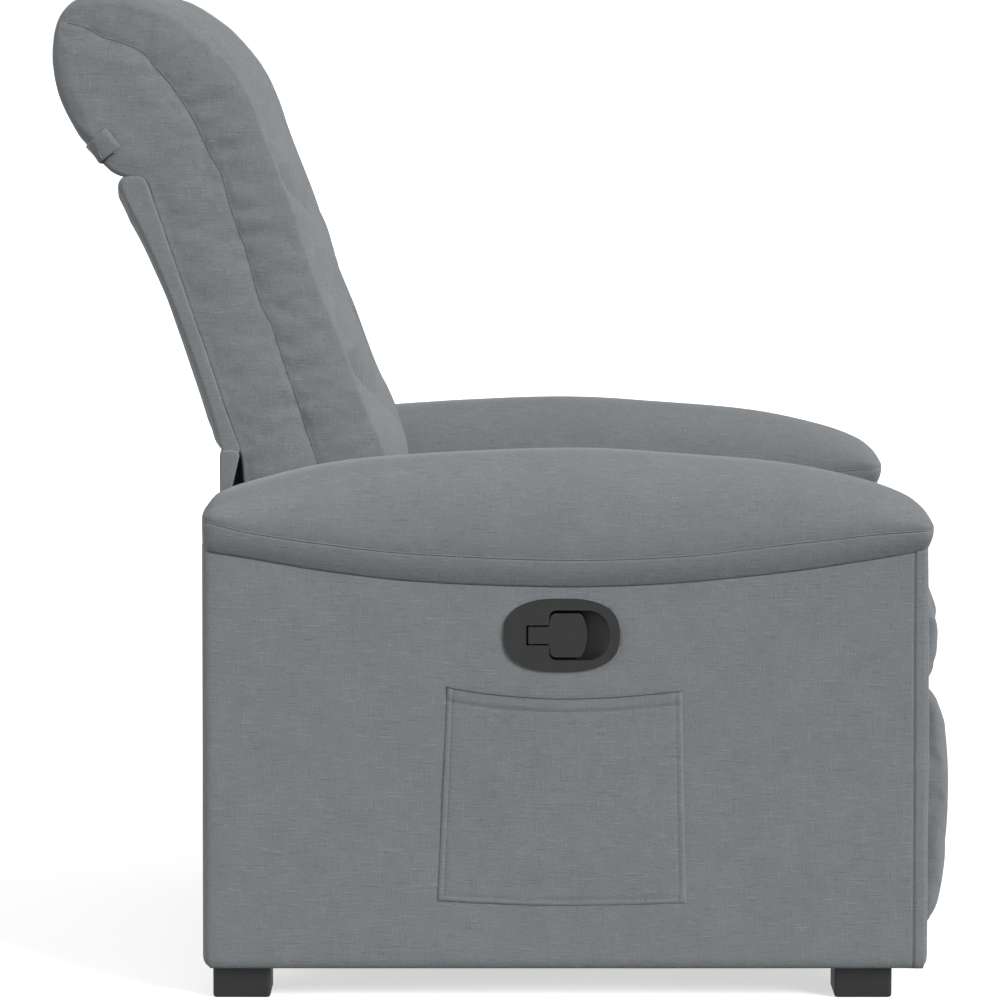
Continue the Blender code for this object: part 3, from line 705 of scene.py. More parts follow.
def arm_cap(word, side):
    """Band and domed pad of an arm in one skin, with the seam between them pulled in."""
    front, rear = CAP_FRONT, CAP_REAR
    stations = [rear - 0.0002, rear - 0.0012, rear - 0.003, rear - 0.006, rear - 0.01, rear - 0.015]
    stations += spread(rear - 0.02, front + 0.02, 0.008)
    stations += [front + 0.015, front + 0.01, front + 0.006, front + 0.003, front + 0.0012, front + 0.0002]
    middle = (CAP_INNER + CAP_OUTER) / 2
    half = (CAP_OUTER - CAP_INNER) / 2
    arch = [k / 26 for k in range(1, 26)]
    rings = []
    for y in stations:
        low, seam, top = arm_row(y)
        tuck = tuck_in(y, CAP_CORNER)
        band_tuck = tuck_in(y, 0.006 if y < 0.0 else 0.011)
        lean = min(1.0, max(0.0, (front + 0.03 - y) / 0.028))
        ring = []

        def put(out, z, mirrored, inset, forward=0.0):
            """A point at distance out from the arm's middle line, on the outer or the inner half."""
            reach = max(0.004, half + out - inset)
            x = middle - reach if mirrored else middle + reach
            ring.append((side * x, y + forward, z))

        def put_band(places, mirrored):
            for out, z in places:
                up = min(1.0, max(0.0, (z - low) / depth))
                inset = band_tuck + (tuck - band_tuck) * up**6
                put(out, z, mirrored, inset, 0.0056 * lean * (1.0 - up) ** 1.5)

        depth = seam - low
        band = [(-0.03, low + 0.006), (-0.015, low + 0.0045), (-0.0118, low + 0.0016),
                (-0.0108, low + 0.0002)]
        for t in (0.0, 0.07, 0.16, 0.26, 0.38, 0.51, 0.64, 0.77, 0.87):
            band.append((-0.0002 - 0.0098 * (1.0 - t) ** 1.9, low + depth * t))
        band += [(-0.0002, seam - 0.002), (-0.0006, seam - 0.0008), (-0.0011, seam),
                 (-0.0008, seam + 0.0009)]
        put_band(band, False)
        rise = top - seam
        for t in arch:
            angle = math.pi * t
            c, s = math.cos(angle), math.sin(angle)
            out = abs(c) ** 0.74 * half - half
            z = seam + 0.0012 + (rise - 0.0012) * s**0.8
            edge = math.exp(-(z - seam) / 0.016)
            place = Vector((side * c * 2.0, y * 16.0, z * 12.0))
            z += 0.0009 * noise.noise(place) * s
            pucker = 0.0005 * noise.noise(Vector((side * 3.0 + c, y * 85.0, 1.0))) * edge
            put(out + 0.0015 * edge + pucker, z, c < 0, tuck)
        put_band(reversed(band), True)
        rings.append(ring)
    cap = loft(f"{word}_arm_cap", rings, GREY)
    pad_side = [(middle + half - tuck_in(y, CAP_CORNER) - 0.0003, y, arm_row(y)[1] + 0.0003)
                for y in spread(rear - 0.001, front + 0.001, 0.006)]
    inner = [(2 * middle - x, y, z) for x, y, z in reversed(pad_side)]
    loop = [(side * x, y, z) for x, y, z in pad_side + inner]
    piping = cord_line(f"{word}_arm_piping", loop, PIPING, GREY, closed=True, body="base")
    dress(cap, "base", "grey_fabric", f"{word}_arm_pad", f"{word}_arm_band")


def superellipse(centre, half_size, power, sides):
    loop = []
    for i in range(sides):
        angle = 2 * math.pi * i / sides
        c, s = math.cos(angle), math.sin(angle)
        loop.append((centre[0] + half_size[0] * math.copysign(abs(c) ** (2 / power), c),
                     centre[1] + half_size[1] * math.copysign(abs(s) ** (2 / power), s)))
    return loop


def flat_solid(name, loop, x_low, x_high, look):
    """A (y, z) loop as a plate between two x values."""
    rings = [[(x, y, z) for y, z in loop] for x in (x_low, x_high)]
    return loft(name, rings, look)


def subtract(obj, tool):
    cut = obj.modifiers.new("cut", "BOOLEAN")
    cut.operation = "DIFFERENCE"
    cut.object = tool
    bake(obj)
    bpy.data.objects.remove(tool, do_unlink=True)


# ================================================================ latch
LATCH = (-0.0613, 0.372)
PLATE_CENTRE, PLATE_HALF = (-0.0621, 0.3719), (0.0577, 0.0366)
CUP_HALF, HOLE_HALF = (0.052, 0.03), (0.0526, 0.0306)
RECESS_REAR = -0.0492
LEVER_MIDDLE = 0.3718


def recess_loop():
    """Finger recess: square beside the lever's stem, almost half round at its front end."""
    top, bottom, rear, front = 0.3969, 0.3466, RECESS_REAR, -0.1098
    middle = (top + bottom) / 2
    loop = []
    for i in range(6):
        angle = math.radians(-90 * i / 5)
        loop.append((rear - 0.007 + 0.007 * math.cos(angle), bottom + 0.007 + 0.007 * math.sin(angle)))
    for i in range(25):
        angle = math.radians(-90 - 180 * i / 24)
        c, s = math.cos(angle), math.sin(angle)
        loop.append((front + 0.022 + 0.022 * c, middle + (top - middle) * math.copysign(abs(s) ** 0.92, s)))
    for i in range(6):
        angle = math.radians(90 - 90 * i / 5)
        loop.append((rear - 0.007 + 0.007 * math.cos(angle), top - 0.007 + 0.007 * math.sin(angle)))
    return loop


def lever_loop():
    """Lever outline: a stem, flared corners and a paddle with a bowed front edge."""
    low, high = 0.3493, 0.3939
    middle = (low + high) / 2
    stem = 0.0087
    upper = [(-0.0281, middle + stem), (-0.0478, middle + stem), (-0.049, middle + stem + 0.0012)]
    for i in range(6):
        angle = math.radians(90 * i / 5)
        upper.append((-0.056 + 0.0062 * math.cos(angle), high - 0.0062 + 0.0062 * math.sin(angle)))
    upper += [(-0.078, high), (-0.0805, high - 0.0008), (-0.0824, high - 0.003)]
    curve = []
    for i in range(1, 14):
        t = i / 14
        bow = 0.0046 * math.sin(math.pi * t) ** 0.8
        curve.append((-0.0824 - bow, high - 0.003 + (low - high + 0.006) * t))
    return upper + curve + [(y, 2 * middle - z) for y, z in reversed(upper)]


def rounded(obj, width, segments=3, limit=35.0):
    """Round an object's sharp edges."""
    weld = obj.modifiers.new("weld", "WELD")
    weld.merge_threshold = 0.00001
    bevel = obj.modifiers.new("rounded", "BEVEL")
    bevel.width = width
    bevel.segments = segments
    bevel.limit_method = "ANGLE"
    bevel.angle_limit = math.radians(limit)
    bevel.harden_normals = True
    bake(obj)
    obj.data.shade_smooth()
    work = obj.modifiers.new("normals", "WEIGHTED_NORMAL")
    work.keep_sharp = True
    bake(obj)


def build_latch():
    """Plate with its finger cup in one body, the pull lever, and the hub that the lever turns on."""
    rim = superellipse(PLATE_CENTRE, PLATE_HALF, 2.65, 96)
    plate = flat_solid("latch_plate", rim, -0.3768, -0.3728, LATCH_PLASTIC)
    cup = flat_solid("cup", superellipse(LATCH, CUP_HALF, 3.0, 72), -0.374, -0.3505, LATCH_PLASTIC)
    join = plate.modifiers.new("join", "BOOLEAN")
    join.operation = "UNION"
    join.object = cup
    bake(plate)
    bpy.data.objects.remove(cup, do_unlink=True)
    bowl = []
    for x, shrink in ((-0.4, 0.0), (-0.3762, 0.0), (-0.3725, 0.05), (-0.369, 0.15), (-0.366, 0.3),
                      (-0.364, 0.5)):
        bowl.append([(x, RECESS_REAR + (y - RECESS_REAR) * (1.0 - shrink),
                      LEVER_MIDDLE + (z - LEVER_MIDDLE) * (1.0 - 0.4 * shrink)) for y, z in recess_loop()])
    subtract(plate, loft("hollow", bowl, LATCH_PLASTIC))
    slot_loop = [(-0.0261, 0.3617), (-0.0261, 0.3819), (-0.052, 0.3819), (-0.052, 0.3617)]
    subtract(plate, flat_solid("slot", slot_loop, -0.4, -0.3635, LATCH_PLASTIC))
    rounded(plate, 0.0006)
    dress(plate, "base", "latch_plastic", "latch_bezel")
    lever = flat_solid("latch_handle", lever_loop(), -0.3763, -0.3713, LATCH_PLASTIC)
    rounded(lever, 0.0006)
    dress(lever, "lever", "latch_plastic", "latch_lever")
    bpy.ops.mesh.primitive_cylinder_add(vertices=32, radius=0.0032, depth=0.0165,
                                        location=(-0.372, -0.0322, LEVER_MIDDLE))
    hub = bpy.context.active_object
    hub.name = "latch_hub"
    hub.data.materials.append(LATCH_PLASTIC)
    rounded(hub, 0.0005)
    dress(hub, "lever", "latch_plastic")


# ================================================================ pocket
POCKET_TOP = [(0.0525, 0.3215), (0.044, 0.3193), (0.006, 0.314), (-0.049, 0.3102), (-0.105, 0.311),
              (-0.15, 0.3142), (-0.1818, 0.3172)]
POCKET_BOTTOM = [(0.0625, 0.1085), (0.02, 0.106), (-0.049, 0.1035), (-0.123, 0.104), (-0.1862, 0.106)]
HEM = 0.0122                      # depth of the hem at the pocket's mouth
SEWN = 0.0062                     # from the pocket's edge to its stitches


def pocket_places(count, rows):
    """Grid of (y, z) over the pocket, dense beside its edges, with each place's share across and up."""
    def eased(n, margin):
        inner = np.linspace(margin[-1], 1 - margin[-1], n - 2 * len(margin) + 2)[1:-1]
        return np.concatenate([margin, inner, 1 - np.array(margin)[::-1]])

    across = eased(count, [0, 0.004, 0.008, 0.012, 0.017, 0.022, 0.027, 0.032, 0.04, 0.055])
    up = eased(rows, [0, 0.005, 0.01, 0.015, 0.021, 0.027, 0.033, 0.042, 0.052, 0.06, 0.07])
    top = smooth_line(POCKET_TOP, 200)
    bottom = smooth_line(POCKET_BOTTOM, 200)
    places = np.zeros((rows, count, 2))
    for c, s in enumerate(across):
        high = np.array([np.interp(s, np.linspace(0, 1, 200), top[:, k]) for k in (0, 1)])
        low = np.array([np.interp(s, np.linspace(0, 1, 200), bottom[:, k]) for k in (0, 1)])
        for r, t in enumerate(up):
            places[r, c] = low * (1 - t) + high * t
    return places, across, up


def build_pocket():
    """Sewn pocket: a sheet held to the panel at its sides and bottom, standing open a little at its hem."""
    count, rows = 61, 58
    places, across, up = pocket_places(count, rows)
    width, tall = 0.245, 0.207
    outside, inside = [], []
    for r in range(rows):
        for c in range(count):
            y, z = places[r, c]
            side = min(across[c], 1 - across[c]) * width
            base = up[r] * tall
            edge = min(side, base)
            below_hem = (1 - up[r]) * tall
            middle = (1 - math.exp(-(side / 0.045) ** 1.6)) * (1 - math.exp(-(base / 0.05) ** 1.6))
            relief = 0.0009 + 0.001 * (1 - math.exp(-(edge / 0.0012) ** 2))
            relief += 0.0026 * middle * (0.45 + 0.55 * up[r])
            relief += 0.0012 * math.exp(-(below_hem / 0.02) ** 2) * middle
            relief -= 0.0007 * math.exp(-((edge - SEWN) / 0.0013) ** 2) * (1 if edge < 0.012 else 0)
            relief -= 0.0007 * math.exp(-((below_hem - HEM) / 0.0013) ** 2)
            relief += 0.0007 / (1 + math.exp((below_hem - HEM) / 0.0006))
            relief += 0.0006 * noise.noise(Vector((y * 17, 5.0, z * 17))) * middle
            x = ARM_OUTER + relief
            outside.append((-x, y, z))
            inside.append((-(x - 0.0008), y, z))
    outside = [tuple(p) for p in settle(np.array(outside))]
    inside = [tuple(p) for p in settle(np.array(inside))]
    total = len(outside)
    faces = []
    for r in range(rows - 1):
        for c in range(count - 1):
            a, b = r * count + c, r * count + c + 1
            d, e = a + count, b + count
            faces.append((a, b, e, d))
            faces.append((total + a, total + d, total + e, total + b))
    rim = ([c for c in range(count)] + [r * count + count - 1 for r in range(1, rows)]
           + [(rows - 1) * count + c for c in range(count - 2, -1, -1)]
           + [r * count for r in range(rows - 2, 0, -1)])
    for i, a in enumerate(rim):
        b = rim[(i + 1) % len(rim)]
        faces.append((a, total + a, total + b, b))
    pocket = new_object("pocket", outside + inside, faces, GREY)
    fix_normals(pocket)
    dress(pocket, "base", "pocket_fabric", "side_pocket")
    # The cord along the pocket's top edge is darkened cloth: painted shade for the shadow line above the hem
    crease = [(x - 0.0002, y, z + 0.0004) for x, y, z in outside[(rows - 1) * count:]]
    cord_line("pocket_mouth_shade", crease, 0.0006, POCKET_MOUTH_SHADE_LOOK, body="base", sides=1)
    out = (-1.0, 0.0, 0.0)
    surface = np.array(outside).reshape(rows, count, 3)
    sewn = [surface[:, np.argmin(np.abs(across - share))] for share in (SEWN / width, 1 - SEWN / width)]
    sewn += [surface[np.argmin(np.abs(up - share))] for share in (SEWN / tall, 1 - HEM / tall)]
    lines = [[(place + (0.0001, 0, 0), out) for place in line] for line in sewn]
    stitches("pocket_stitches", lines, THREAD_LOOK, "base")


# ================================================================ seat
SEAT_HALF = 0.2525
SEAT_SEAM_Y = -0.335              # cross seam behind the seat's rolled front edge
ROLL_FRONT, PAD_FRONT = 0.4532, 0.4582   # how far the seat's roll and the footrest's pad reach forward


def towards_sides(co):
    """0 over the middle 20 cm of the chair, rising to 1 at the sides."""
    return np.clip((np.abs(co[:, 0]) - 0.1) / 0.13, 0, 1)


def build_seat():
    """Seat cushion with a rolled front edge, set off by a cross seam."""
    outline = smooth_line([(0.15, 0.372), (0.166, 0.38), (0.169, 0.42), (0.158, 0.443), (0.06, 0.449),
                           (-0.08, 0.453), (-0.25, 0.454), (-0.335, 0.452), (-0.395, 0.451),
                           (-0.422, 0.444), (-0.434, 0.428), (-0.4395, 0.408), (-0.449, 0.378),
                           (-0.451, 0.35), (-0.4495, 0.325), (-0.443, 0.309), (-0.41, 0.307),
                           (-0.397, 0.322), (-0.386, 0.345), (-0.372, 0.37), (-0.33, 0.374),
                           (-0.1, 0.373)],
                          120, closed=True)
    cushion = rounded_prism("seat_cover", outline, SEAT_HALF, 0.01, GREY, voxel=0.0065)
    co = points_of(cushion)
    x, y, z = co.T
    cross = np.abs(y - SEAT_SEAM_Y)
    pinned = np.zeros(len(co))
    pinned[(z < 0.385) & (y > -0.38)] = 1.0
    pinned[(cross < 0.005) & (z > 0.43)] = 1.0
    pinned[(z < 0.325) & (y < -0.38)] = 0.7
    inflate(cushion, pinned, 4.0, 0.013, slack=0.02)
    subdivide(cushion)
    co = points_of(cushion)
    x, y, z = co.T
    top = z > 0.425
    dip = np.exp(-((y - SEAT_SEAM_Y) / 0.0045) ** 2) * top
    soft = ripple(co, 9.0, 1) * 0.0018 + ripple(co, 26.0, 2) * 0.0007
    near = np.exp(-np.abs(y - SEAT_SEAM_Y) / 0.03) * top
    gather = ripple(np.stack([x * 1.0, y * 0.2, z * 0.2], axis=1), 55.0, 3) * 0.0016 * near
    normal = normals_of(cushion)
    co = co + normal * (soft + gather)[:, None]
    co[:, 2] -= dip * 0.0055
    roll = np.clip((-0.345 - co[:, 1]) / 0.06, 0, 1)
    ends = towards_sides(co)
    co[:, 1] -= roll * (ROLL_FRONT + co[:, 1].min() + 0.0045 * ends**2 * (3 - 2 * ends))
    co[:, 1] += roll * 0.003 * np.clip((co[:, 2] - 0.375) / 0.03, 0, 1)
    co[:, 0] = np.clip(co[:, 0], -0.26, 0.26)
    set_points(cushion, co)
    dress(cushion, "seat", "grey_fabric", "seat_cushion")
    starts = [(place, SEAT_SEAM_Y, 0.6) for place in np.linspace(-0.25, 0.25, 90)]
    seam_on(cushion, "seat_cross_seam", starts, (0, 0, -1), "seat")


def seam_on(obj, name, starts, direction, body, radius=0.0009):
    """A thread that follows a surface: each start point is dropped onto it along direction."""
    tree = surface_of(obj)
    line = []
    for start in starts:
        hit = tree.ray_cast(Vector(start), Vector(direction))
        if hit[0] is not None:
            line.append(hit[0] - Vector(direction) * radius * 0.3)
    if len(line) > 2:
        seam = cord_line(name, line, radius, GREY_SEAM, body=body, sides=1)


# ================================================================ footrest
def build_footrest():
    """Padded panel in front of the footrest board, crowned, with its border pulled back."""
    outline = smooth_line([(-0.43, 0.068), (-0.43, 0.18), (-0.43, 0.3), (-0.44, 0.3038),
                           (-0.4485, 0.2985), (-0.454, 0.276), (-0.4562, 0.245), (-0.4568, 0.205),
                           (-0.456, 0.17), (-0.4545, 0.135), (-0.4505, 0.099), (-0.4455, 0.074),
                           (-0.438, 0.063)], 100, closed=True)
    pad = rounded_prism("footrest_cover", outline, SEAT_HALF, 0.0055, GREY, voxel=0.0055)
    co = points_of(pad)
    pinned = np.zeros(len(co))
    pinned[co[:, 1] > -0.4345] = 1.0
    inflate(pad, pinned, 3.5, 0.007, slack=0.01)
    subdivide(pad)
    co = points_of(pad)
    soft = ripple(co, 10.0, 5) * 0.0011 + ripple(co, 30.0, 6) * 0.0005
    co = co + normals_of(pad) * soft[:, None]
    crown = np.clip((-0.4345 - co[:, 1]) / 0.01, 0, 1)
    ends = towards_sides(co)
    lower = np.clip((0.145 - co[:, 2]) / 0.06, 0, 1)
    co[:, 1] -= crown * (PAD_FRONT + co[:, 1].min() + (0.0035 + 0.0035 * lower) * ends**2 * (3 - 2 * ends))
    co[:, 1] = np.minimum(co[:, 1], -0.429)
    co[:, 2] = np.clip(co[:, 2], 0.061, 0.3045)
    co = settle(co)
    set_points(pad, co)
    dress(pad, "footrest", "grey_fabric", "footrest_pad")


# ================================================================ back
# Near edge of the back's front, bottom to top, then the head roll and down to the rear seam: (y, z)
BACK_FRONT = [(0.096, 0.47), (0.1145, 0.5412), (0.1391, 0.6005), (0.1616, 0.6629), (0.1872, 0.7242),
              (0.206, 0.7846), (0.2192, 0.821), (0.2352, 0.8623), (0.2469, 0.8954), (0.2618, 0.9247),
              (0.2878, 0.9584), (0.3273, 0.99)]
BACK_CROWN = [(0.356, 1.004), (0.385, 1.0105), (0.412, 1.0098), (0.433, 1.002), (0.446, 0.987),
              (0.452, 0.969)]
# Its rear line, bottom to top, then under the head roll to the same end point
BACK_REAR = [(0.096, 0.47), (0.15, 0.466), (0.215, 0.472), (0.248, 0.482), (0.2585, 0.495),
             (0.2625, 0.515), (0.2663, 0.545), (0.2865, 0.6045), (0.317, 0.694), (0.3505, 0.793),
             (0.36, 0.819), (0.372, 0.8225), (0.39, 0.8268), (0.403, 0.8368), (0.421, 0.8572),
             (0.437, 0.8817), (0.448, 0.9063), (0.4528, 0.93), (0.454, 0.95), (0.452, 0.969)]
SIDE_SEAM = [(0.4475, 0.983), (0.4193, 0.9758), (0.405, 0.9676), (0.3804, 0.9595), (0.362, 0.9513),
             (0.3498, 0.937), (0.3354, 0.9206), (0.3252, 0.9063), (0.3089, 0.8797), (0.3007, 0.8613),
             (0.2925, 0.8449), (0.2823, 0.8265), (0.2761, 0.802), (0.2659, 0.7713), (0.2577, 0.7488),
             (0.2444, 0.6987), (0.2322, 0.6741), (0.2199, 0.6353), (0.2076, 0.5995), (0.1953, 0.5606),
             (0.1872, 0.5371), (0.179, 0.508), (0.17, 0.475)]
BACK_ROWS = 150
EDGE_TUFTS = (0.838, 0.647, 0.454)
CENTRE_TUFTS = (0.93, 0.742, 0.55)
BACK_LEAN = 1.065               # length along the back's front for each metre of height
BACK_EDGE = 0.2525
# Puckers beside the side seam: run along the seam from its top, length ahead of it, length behind it, depth
PUCKERS = [(0.03, 0.022, 0.014, 0.7), (0.058, 0.03, 0.018, 1.0), (0.092, 0.045, 0.01, 1.2),
           (0.118, 0.034, 0.02, 1.1), (0.141, 0.048, 0.008, 1.0), (0.166, 0.036, 0.012, 0.8),
           (0.192, 0.04, 0.03, 0.9), (0.219, 0.03, 0.026, 1.1), (0.247, 0.026, 0.01, 0.6),
           (0.281, 0.05, 0.008, 1.3), (0.307, 0.052, 0.012, 1.2), (0.331, 0.048, 0.006, 1.3),
           (0.362, 0.028, 0.01, 0.7), (0.395, 0.04, 0.012, 0.8), (0.424, 0.03, 0.008, 0.7),
           (0.455, 0.06, 0.01, 1.2), (0.487, 0.075, 0.016, 1.4), (0.515, 0.05, 0.01, 1.0)]


def tuft_seams():
    """The diagonal seams of the back's front as (x, height along the front) segments."""
    segments = []
    for edge in EDGE_TUFTS:
        for centre in CENTRE_TUFTS:
            if abs(edge - centre) < 0.12:
                for side in (-1, 1):
                    segments.append(np.array([(side * 0.262, edge * BACK_LEAN), (0.0, centre * BACK_LEAN)]))
    return segments


def seam_gap(co):
    """Distance from each point to the nearest diagonal seam, measured on the back's front."""
    flat = np.stack([co[:, 0], co[:, 2] * BACK_LEAN], axis=1)
    gap = np.full(len(co), 1e9)
    for segment in tuft_seams():
        gap = np.minimum(gap, distance_to_line(flat, segment)[0])
    return gap


def lobe_height(co):
    """How far the tufted front stands forward of its side edges: most on the sitter's right."""
    gap = seam_gap(co)
    edge = np.clip(BACK_EDGE - 0.004 - np.abs(co[:, 0]), 0.0, 1.0)
    rise = 1.0 - np.exp(-(gap / 0.032) ** 1.25)
    tall = 0.0158 + np.clip(0.04 * (BACK_EDGE - co[:, 0]) - 0.0025, 0.0, 0.012)
    tall += 0.01 * np.clip((-co[:, 0] - 0.09) / 0.09, 0.0, 1.0)
    height = -0.0155 + tall * rise
    grow = np.where(height > 0, 0.044, 0.012)
    return height * (1.0 - (1.0 - np.minimum(edge / grow, 1.0)) ** 2.4)


def outward(outline):
    """Unit normals of a closed (y, z) outline, pointing out of it."""
    tangent = np.roll(outline, -1, axis=0) - np.roll(outline, 1, axis=0)
    area = np.sum(outline[:, 0] * np.roll(outline[:, 1], -1) - np.roll(outline[:, 0], -1) * outline[:, 1])
    normal = np.stack([tangent[:, 1], -tangent[:, 0]], axis=1) * math.copysign(1.0, area)
    return normal / np.linalg.norm(normal, axis=1)[:, None]


def swept(outline, radii, half, step):
    """Rings of an outline across the chair, its two rims rounded by each point's radius."""
    normal = outward(outline)
    rings = []

    def ring(side, place, inset):
        flat = outline - normal * inset[:, None]
        rings.append(np.column_stack([side * place, flat[:, 0], flat[:, 1]]))

    turns = [math.radians(a) for a in (90, 72, 54, 36, 18)]
    for turn in turns:
        ring(-1, half - radii * (1 - math.sin(turn)), radii * (1 - math.cos(turn)))
    for share in np.linspace(-1, 1, int(2 * half / step) + 1):
        ring(1, share * (half - radii), 0.0 * radii)
    for turn in reversed(turns):
        ring(1, half - radii * (1 - math.sin(turn)), radii * (1 - math.cos(turn)))
    return rings


def skin(name, first, second, radii, half, step, columns):
    """Closed skin round two (y, z) lines that share both ends: rings across, and rows over each side."""
    rows = len(first)
    outline = np.concatenate([first, second[-2:0:-1]])
    radii = np.concatenate([radii[0], radii[1][-2:0:-1]])
    radii = np.convolve(np.concatenate([radii[-4:], radii, radii[:4]]), np.ones(9) / 9, "valid")
    count = len(outline)
    rings = swept(outline, radii, half, step)
    vertices = [tuple(p) for r in rings for p in r]
    faces = ring_faces(len(rings), count)
    for ring_number in (0, len(rings) - 1):
        edge = rings[ring_number]
        grid = {}
        for k in range(rows):
            opposite = (count - k) % count
            for j in range(columns + 1):
                if k in (0, rows - 1) or j == 0:
                    grid[k, j] = ring_number * count + k
                elif j == columns:
                    grid[k, j] = ring_number * count + opposite
                else:
                    t = j / columns
                    grid[k, j] = len(vertices)
                    vertices.append(tuple(edge[k] * (1 - t) + edge[opposite] * t))
        for k in range(rows - 1):
            for j in range(columns):
                corners = (grid[k, j], grid[k, j + 1], grid[k + 1, j + 1], grid[k + 1, j])
                corners = tuple(dict.fromkeys(corners))
                if len(corners) > 2:
                    faces.append(corners)
    made = new_object(name, vertices, faces, GREY)
    fix_normals(made)
    return made


def back_skin():
    front = smooth_line(BACK_FRONT + BACK_CROWN, BACK_ROWS)
    rear = smooth_line(BACK_REAR, BACK_ROWS)
    front_radii = np.interp(front[:, 1], [0.47, 0.93, 1.0], [0.0055, 0.006, 0.011])
    rear_radii = np.interp(rear[:, 1], [0.47, 0.49, 0.5, 0.815, 0.835, 0.9],
                           [0.005, 0.005, 0.0028, 0.0028, 0.008, 0.011])
    return skin("back_cover", front, rear, (front_radii, rear_radii), BACK_EDGE - 0.001, 0.006, 28)


def facing_forward(co, normal):
    """1 on the back's tufted front, easing to 0 at its sides, its foot and its crown."""
    forward = np.clip((-normal[:, 1] - 0.05) / 0.45, 0, 1) * np.clip((co[:, 2] - 0.475) / 0.03, 0, 1)
    return forward * np.clip((0.345 - co[:, 1]) / 0.09, 0, 1)


def build_back():
    back = back_skin()
    co = points_of(back)
    normal = normals_of(back)
    forward = facing_forward(co, normal)
    direction = normal.copy()
    direction[:, 0] = 0.0
    direction /= np.linalg.norm(direction, axis=1)[:, None] + 1e-9
    set_points(back, co + direction * (lobe_height(co) * forward)[:, None])
    co = points_of(back)
    normal = normals_of(back)
    side_gap = distance_to_line(co[:, 1:], np.array(SIDE_SEAM))[0]
    on_side = np.abs(normal[:, 0]) > 0.7
    pinned = np.zeros(len(co))
    pinned[(seam_gap(co) < 0.0045) & (normal[:, 1] < -0.35) & (co[:, 2] > 0.47)] = 1.0
    pinned[on_side & (side_gap < 0.0045)] = 1.0
    pinned[(normal[:, 1] > 0.3) & (co[:, 2] < 0.835)] = 1.0
    pinned[co[:, 2] < 0.485] = 1.0
    rear_gap = distance_to_line(co[:, 1:], np.array(BACK_REAR[4:14]))[0]
    pinned[rear_gap < 0.01] = 1.0
    edge_gap = distance_to_line(co[:, 1:], np.array(BACK_FRONT + BACK_CROWN[:2]))[0]
    pinned[(np.abs(co[:, 0]) > 0.2445) & (edge_gap < 0.007)] = 1.0
    inflate(back, pinned, 3.0, 0.003, frames=12, slack=0.008)
    subdivide(back)
    shape_back(back)
    dress(back, "back", "grey_fabric", "back_cushion")
    back_seams(back)
    return back


def shape_back(back):
    """Carves the seams and adds the puckers beside the side seam."""
    co = points_of(back)
    normal = normals_of(back)
    inside = np.clip((BACK_EDGE - 0.004 - np.abs(co[:, 0])) / 0.004, 0, 1)
    forward = np.clip((-normal[:, 1] - 0.2) / 0.3, 0, 1) * (co[:, 2] > 0.47) * inside
    shift = -0.003 * np.exp(-(seam_gap(co) / 0.0045) ** 2) * forward
    line = smooth_line(SIDE_SEAM, 300)
    gap, run = distance_to_line(co[:, 1:], line)
    on_side = np.clip((np.abs(normal[:, 0]) - 0.5) / 0.3, 0, 1)
    seam_y = np.interp(co[:, 2], line[::-1, 1], line[::-1, 0])
    ahead = co[:, 1] < seam_y
    shift -= 0.0008 * np.exp(-(gap / 0.0034) ** 2) * on_side
    for number, (place, front, behind, depth) in enumerate(PUCKERS):
        bend = 0.16 * gap * math.sin(number * 2.4 + 1.0)
        width = 0.005 + 0.07 * gap
        along = np.exp(-((run - place + bend) / width) ** 2)
        away = np.where(ahead, np.exp(-(gap / front) ** 2), np.exp(-(gap / behind) ** 2))
        start = np.clip(gap / 0.004, 0, 1)
        shift -= 0.0009 * depth * along * away * start * on_side
        beside = np.exp(-((run - place + bend - 2.2 * width) / (1.5 * width)) ** 2)
        shift += 0.0006 * depth * beside * away * start * on_side
    loose = ripple(co, 11.0, 8) * 0.0011 + ripple(co, 33.0, 9) * 0.0005
    crush = ripple(np.stack([co[:, 0] * 0.2, co[:, 1], co[:, 2] * 2.4], axis=1), 38.0, 10) * 0.0005 * on_side
    steady = 1.0 - 0.8 * np.clip((np.abs(co[:, 0]) - 0.24) / 0.006, 0, 1) * (1 - on_side)
    co = co + normal * (shift + (loose + crush) * steady)[:, None]
    co[:, 0] = np.clip(co[:, 0], -0.2585, 0.2585)
    set_points(back, co)


def back_seams(back):
    for number, segment in enumerate(tuft_seams(), 1):
        starts = []
        for t in np.linspace(0.07, 1.0, 60):
            x, run = segment[0] * (1 - t) + segment[1] * t
            starts.append((x, -0.5, run / BACK_LEAN))
        seam_on(back, f"tuft_seam_{number}", starts, (0, 1, 0), "back", 0.0006)
    for word, side in SIDES.items():
        line = smooth_line(SIDE_SEAM, 220)
        starts = [(side * 0.6, y, z) for y, z in line[4:-4]]
        seam_on(back, f"{word}_back_side_seam", starts, (-side, 0, 0), "back", 0.0005)


